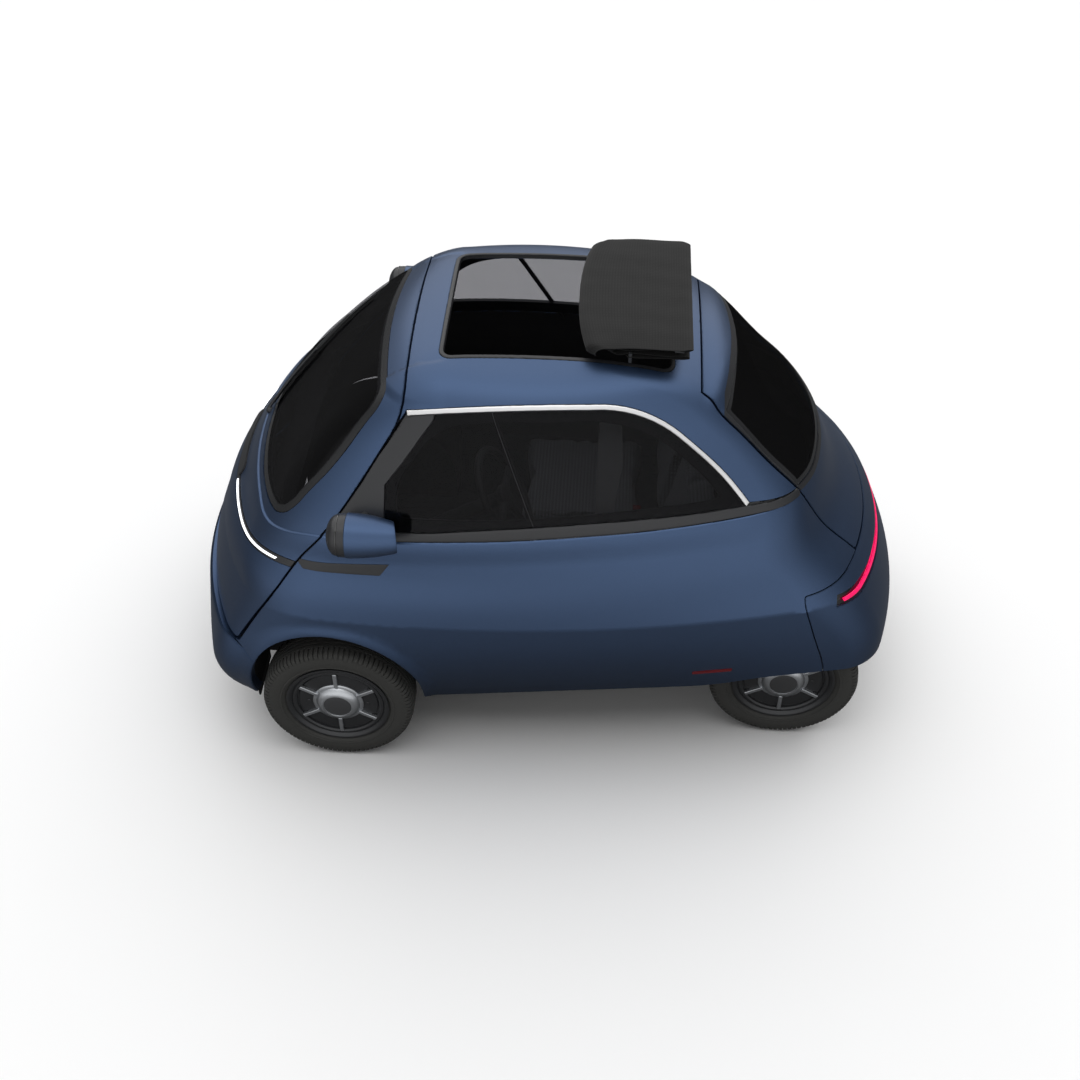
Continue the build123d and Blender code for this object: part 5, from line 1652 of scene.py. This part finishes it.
# How bright the floor and the sky are: to the eye, in their light, and at the ends of their fades in
# the car's reflections. The floor's fade there is a painted shadow of the car, dark under it and pale far out
FLOOR_SEEN = ((0.93, 0.93, 0.93, 1.0), (0.95, 0.95, 0.95, 1.0))
FLOOR_LIGHT = 0.25
PAINTED_SHADOW_LEVELS = (1.0, 0.12)
SKY_SEEN = 1.0
SKY_MIRRORED = (0.12, 1.3)


def between_marks(tree, value, marks, levels):
    """A level that goes evenly from the first to the second as value goes between the two marks."""
    sockets = {
        "Value": value, "From Min": marks[0], "From Max": marks[1], "To Min": levels[0],
        "To Max": levels[1]
    }
    return node(tree, "ShaderNodeMapRange", sockets).outputs["Result"]


def build_studio(look):
    """Pale floor, white surroundings, one broad lamp and the camera."""
    scene = bpy.context.scene
    floor = bpy.data.meshes.new("studio_floor")
    floor.from_pydata([(-40, -40, 0), (40, -40, 0), (40, 40, 0), (-40, 40, 0)], [], [(0, 1, 2, 3)])
    made, tree = new_material("studio_floor_paint")
    # pale to the eye, darker where it would throw light back up at the car; in the paint's own
    # reflections it carries a painted shadow of the car, dark under the car and pale far out on the near side
    pale = between(tree, grain(tree, 900.0), *FLOOR_SEEN)
    paths = node(tree, "ShaderNodeLightPath")
    spot = node(tree, "ShaderNodeTexCoord").outputs["Object"]
    depth = node(tree, "ShaderNodeSeparateXYZ", {0: spot}).outputs["Y"]
    mirrored = between_marks(tree, depth, PAINTED_SHADOW_FADE, PAINTED_SHADOW_LEVELS)
    plain = node(
        tree, "ShaderNodeMix", {0: paths.outputs["Is Glossy Ray"], 2: FLOOR_LIGHT, 3: mirrored}
    ).outputs[0]
    tone = node(
        tree, "ShaderNodeMix", {0: paths.outputs["Is Camera Ray"], 6: plain, 7: pale}, data_type="RGBA"
    )
    shader = node(tree, "ShaderNodeBsdfDiffuse", {"Color": tone.outputs[2]})
    floor.materials.append(finished(made, shader))
    ground = bpy.data.objects.new("studio_floor", floor)
    scene.collection.objects.link(ground)

    world = bpy.data.worlds.new("studio")
    scene.world = world
    world.use_nodes = True
    sky = world.node_tree
    sky.nodes.clear()
    way = node(sky, "ShaderNodeTexCoord").outputs["Generated"]
    toward = node(sky, "ShaderNodeVectorMath", {0: way, 1: BRIGHT_SIDE}, operation="DOT_PRODUCT")
    mirrored = between_marks(sky, toward.outputs["Value"], SKY_FADE, SKY_MIRRORED)
    paths = node(sky, "ShaderNodeLightPath")
    glossy = node(sky, "ShaderNodeMix", {0: paths.outputs["Is Glossy Ray"], 2: look.sky, 3: mirrored})
    seen = node(
        sky, "ShaderNodeMath",
        {0: paths.outputs["Is Camera Ray"], 1: paths.outputs["Is Transmission Ray"]}, operation="MAXIMUM"
    )
    power = node(sky, "ShaderNodeMix", {0: seen.outputs[0], 2: glossy.outputs[0], 3: SKY_SEEN})
    light = node(sky, "ShaderNodeBackground", {"Color": (1, 1, 1, 1), "Strength": power.outputs[0]})
    final = node(sky, "ShaderNodeOutputWorld")
    sky.links.new(light.outputs[0], final.inputs["Surface"])

    key = bpy.data.lights.new("key_lamp", "SUN")
    key.angle, key.energy = math.radians(LAMP_SPREAD), look.lamp
    holder = bpy.data.objects.new("key_lamp", key)
    holder.rotation_euler = Vector(LAMP_FROM).to_track_quat("Z", "Y").to_euler()
    scene.collection.objects.link(holder)

    lens = bpy.data.cameras.new("camera")
    lens.lens, lens.sensor_width, lens.sensor_fit = FOCAL, 36.0, "HORIZONTAL"
    lens.clip_end = 200.0
    eye = bpy.data.objects.new("camera", lens)
    eye.location = CAMERA_AT
    eye.rotation_euler = (math.radians(90 - ELEVATION), 0.0, math.radians(AZIMUTH))
    scene.collection.objects.link(eye)
    scene.camera = eye
    scene.view_settings.view_transform = "Standard"


# ---------------------------------------------------------------- add-on
class MicrocarLook(bpy.types.PropertyGroup):
    """What can be changed about the car's finish, its wheels and its studio."""

    paint: bpy.props.FloatVectorProperty(
        name="Paint", description="Body colour, linear", size=3, subtype="COLOR",
        default=linear("#30496C")[:3]
    )
    paint_roughness: bpy.props.FloatProperty(
        name="Paint roughness", description="How matt the paint is", default=0.4, min=0.1, max=0.9,
        subtype="FACTOR"
    )
    tread_blocks: bpy.props.IntProperty(
        name="Tread blocks", description="Blocks round each shoulder of a tyre", default=92, min=24, max=120
    )
    spokes: bpy.props.IntProperty(name="Spokes", description="Spokes of each wheel", default=6, min=3, max=12)
    sky: bpy.props.FloatProperty(
        name="Sky", description="Strength of the light from the white surroundings", default=0.27,
        min=0.0, max=5.0
    )
    lamp: bpy.props.FloatProperty(
        name="Lamp", description="Strength of the broad lamp above and behind the car", default=2.85,
        min=0.0, max=20.0
    )


class BuildStep:
    """One step of the building; a step that fails stops the run with its error."""

    bl_options = {"REGISTER", "UNDO"}
    parts = ()

    def execute(self, context):
        for part in self.parts:
            part(context.scene.microcar)
        return {"FINISHED"}


class MICROCAR_OT_body(BuildStep, bpy.types.Operator):
    """Build the painted body, bumpers, front door and tailgate"""

    bl_idname = "microcar.body"
    bl_label = "Body"
    parts = (make_materials, build_body)


class MICROCAR_OT_glass(BuildStep, bpy.types.Operator):
    """Build the windscreen, rear window and side windows"""

    bl_idname = "microcar.glass"
    bl_label = "Glass"
    parts = (build_glass,)


class MICROCAR_OT_trim(BuildStep, bpy.types.Operator):
    """Build the trims, lamps, mirror pods and wiper"""

    bl_idname = "microcar.trim"
    bl_label = "Trim and lamps"
    parts = (build_trim, build_pods, build_wiper)


class MICROCAR_OT_wheels(BuildStep, bpy.types.Operator):
    """Build the tyres and rims"""

    bl_idname = "microcar.wheels"
    bl_label = "Wheels"
    parts = (build_wheels,)


class MICROCAR_OT_cabin(BuildStep, bpy.types.Operator):
    """Build the seats, steering wheel and folded roof"""

    bl_idname = "microcar.cabin"
    bl_label = "Cabin and roof"
    parts = (build_cabin, build_roof)


class MICROCAR_OT_studio(BuildStep, bpy.types.Operator):
    """Build the floor, lights and camera"""

    bl_idname = "microcar.studio"
    bl_label = "Studio"
    parts = (build_studio,)


class MICROCAR_PT_panel(bpy.types.Panel):
    """Settings and building steps of the microcar"""

    bl_label = "Microcar"
    bl_idname = "MICROCAR_PT_panel"
    bl_space_type = "VIEW_3D"
    bl_region_type = "UI"
    bl_category = "Microcar"

    def draw(self, context):
        look = context.scene.microcar
        for name in MicrocarLook.__annotations__:
            self.layout.prop(look, name)
        for step in STEPS:
            self.layout.operator(step.bl_idname)


STEPS = (
    MICROCAR_OT_body,
    MICROCAR_OT_glass,
    MICROCAR_OT_trim,
    MICROCAR_OT_wheels,
    MICROCAR_OT_cabin,
    MICROCAR_OT_studio,
)
CLASSES = (MicrocarLook, *STEPS, MICROCAR_PT_panel)


def register():
    for made in CLASSES:
        bpy.utils.register_class(made)
    bpy.types.Scene.microcar = bpy.props.PointerProperty(type=MicrocarLook)


def unregister():
    del bpy.types.Scene.microcar
    for made in reversed(CLASSES):
        bpy.utils.unregister_class(made)


def corners(bounds):
    """Bounds as plain lists."""
    return [list(map(float, corner)) for corner in bounds]


def main():
    """Builds everything in order."""
    register()
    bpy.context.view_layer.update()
    bpy.ops.microcar.body()
    bpy.ops.microcar.glass()
    bpy.ops.microcar.trim()
    bpy.ops.microcar.wheels()
    bpy.ops.microcar.cabin()
    bpy.ops.microcar.studio()


if __name__ == "__main__":
    main()
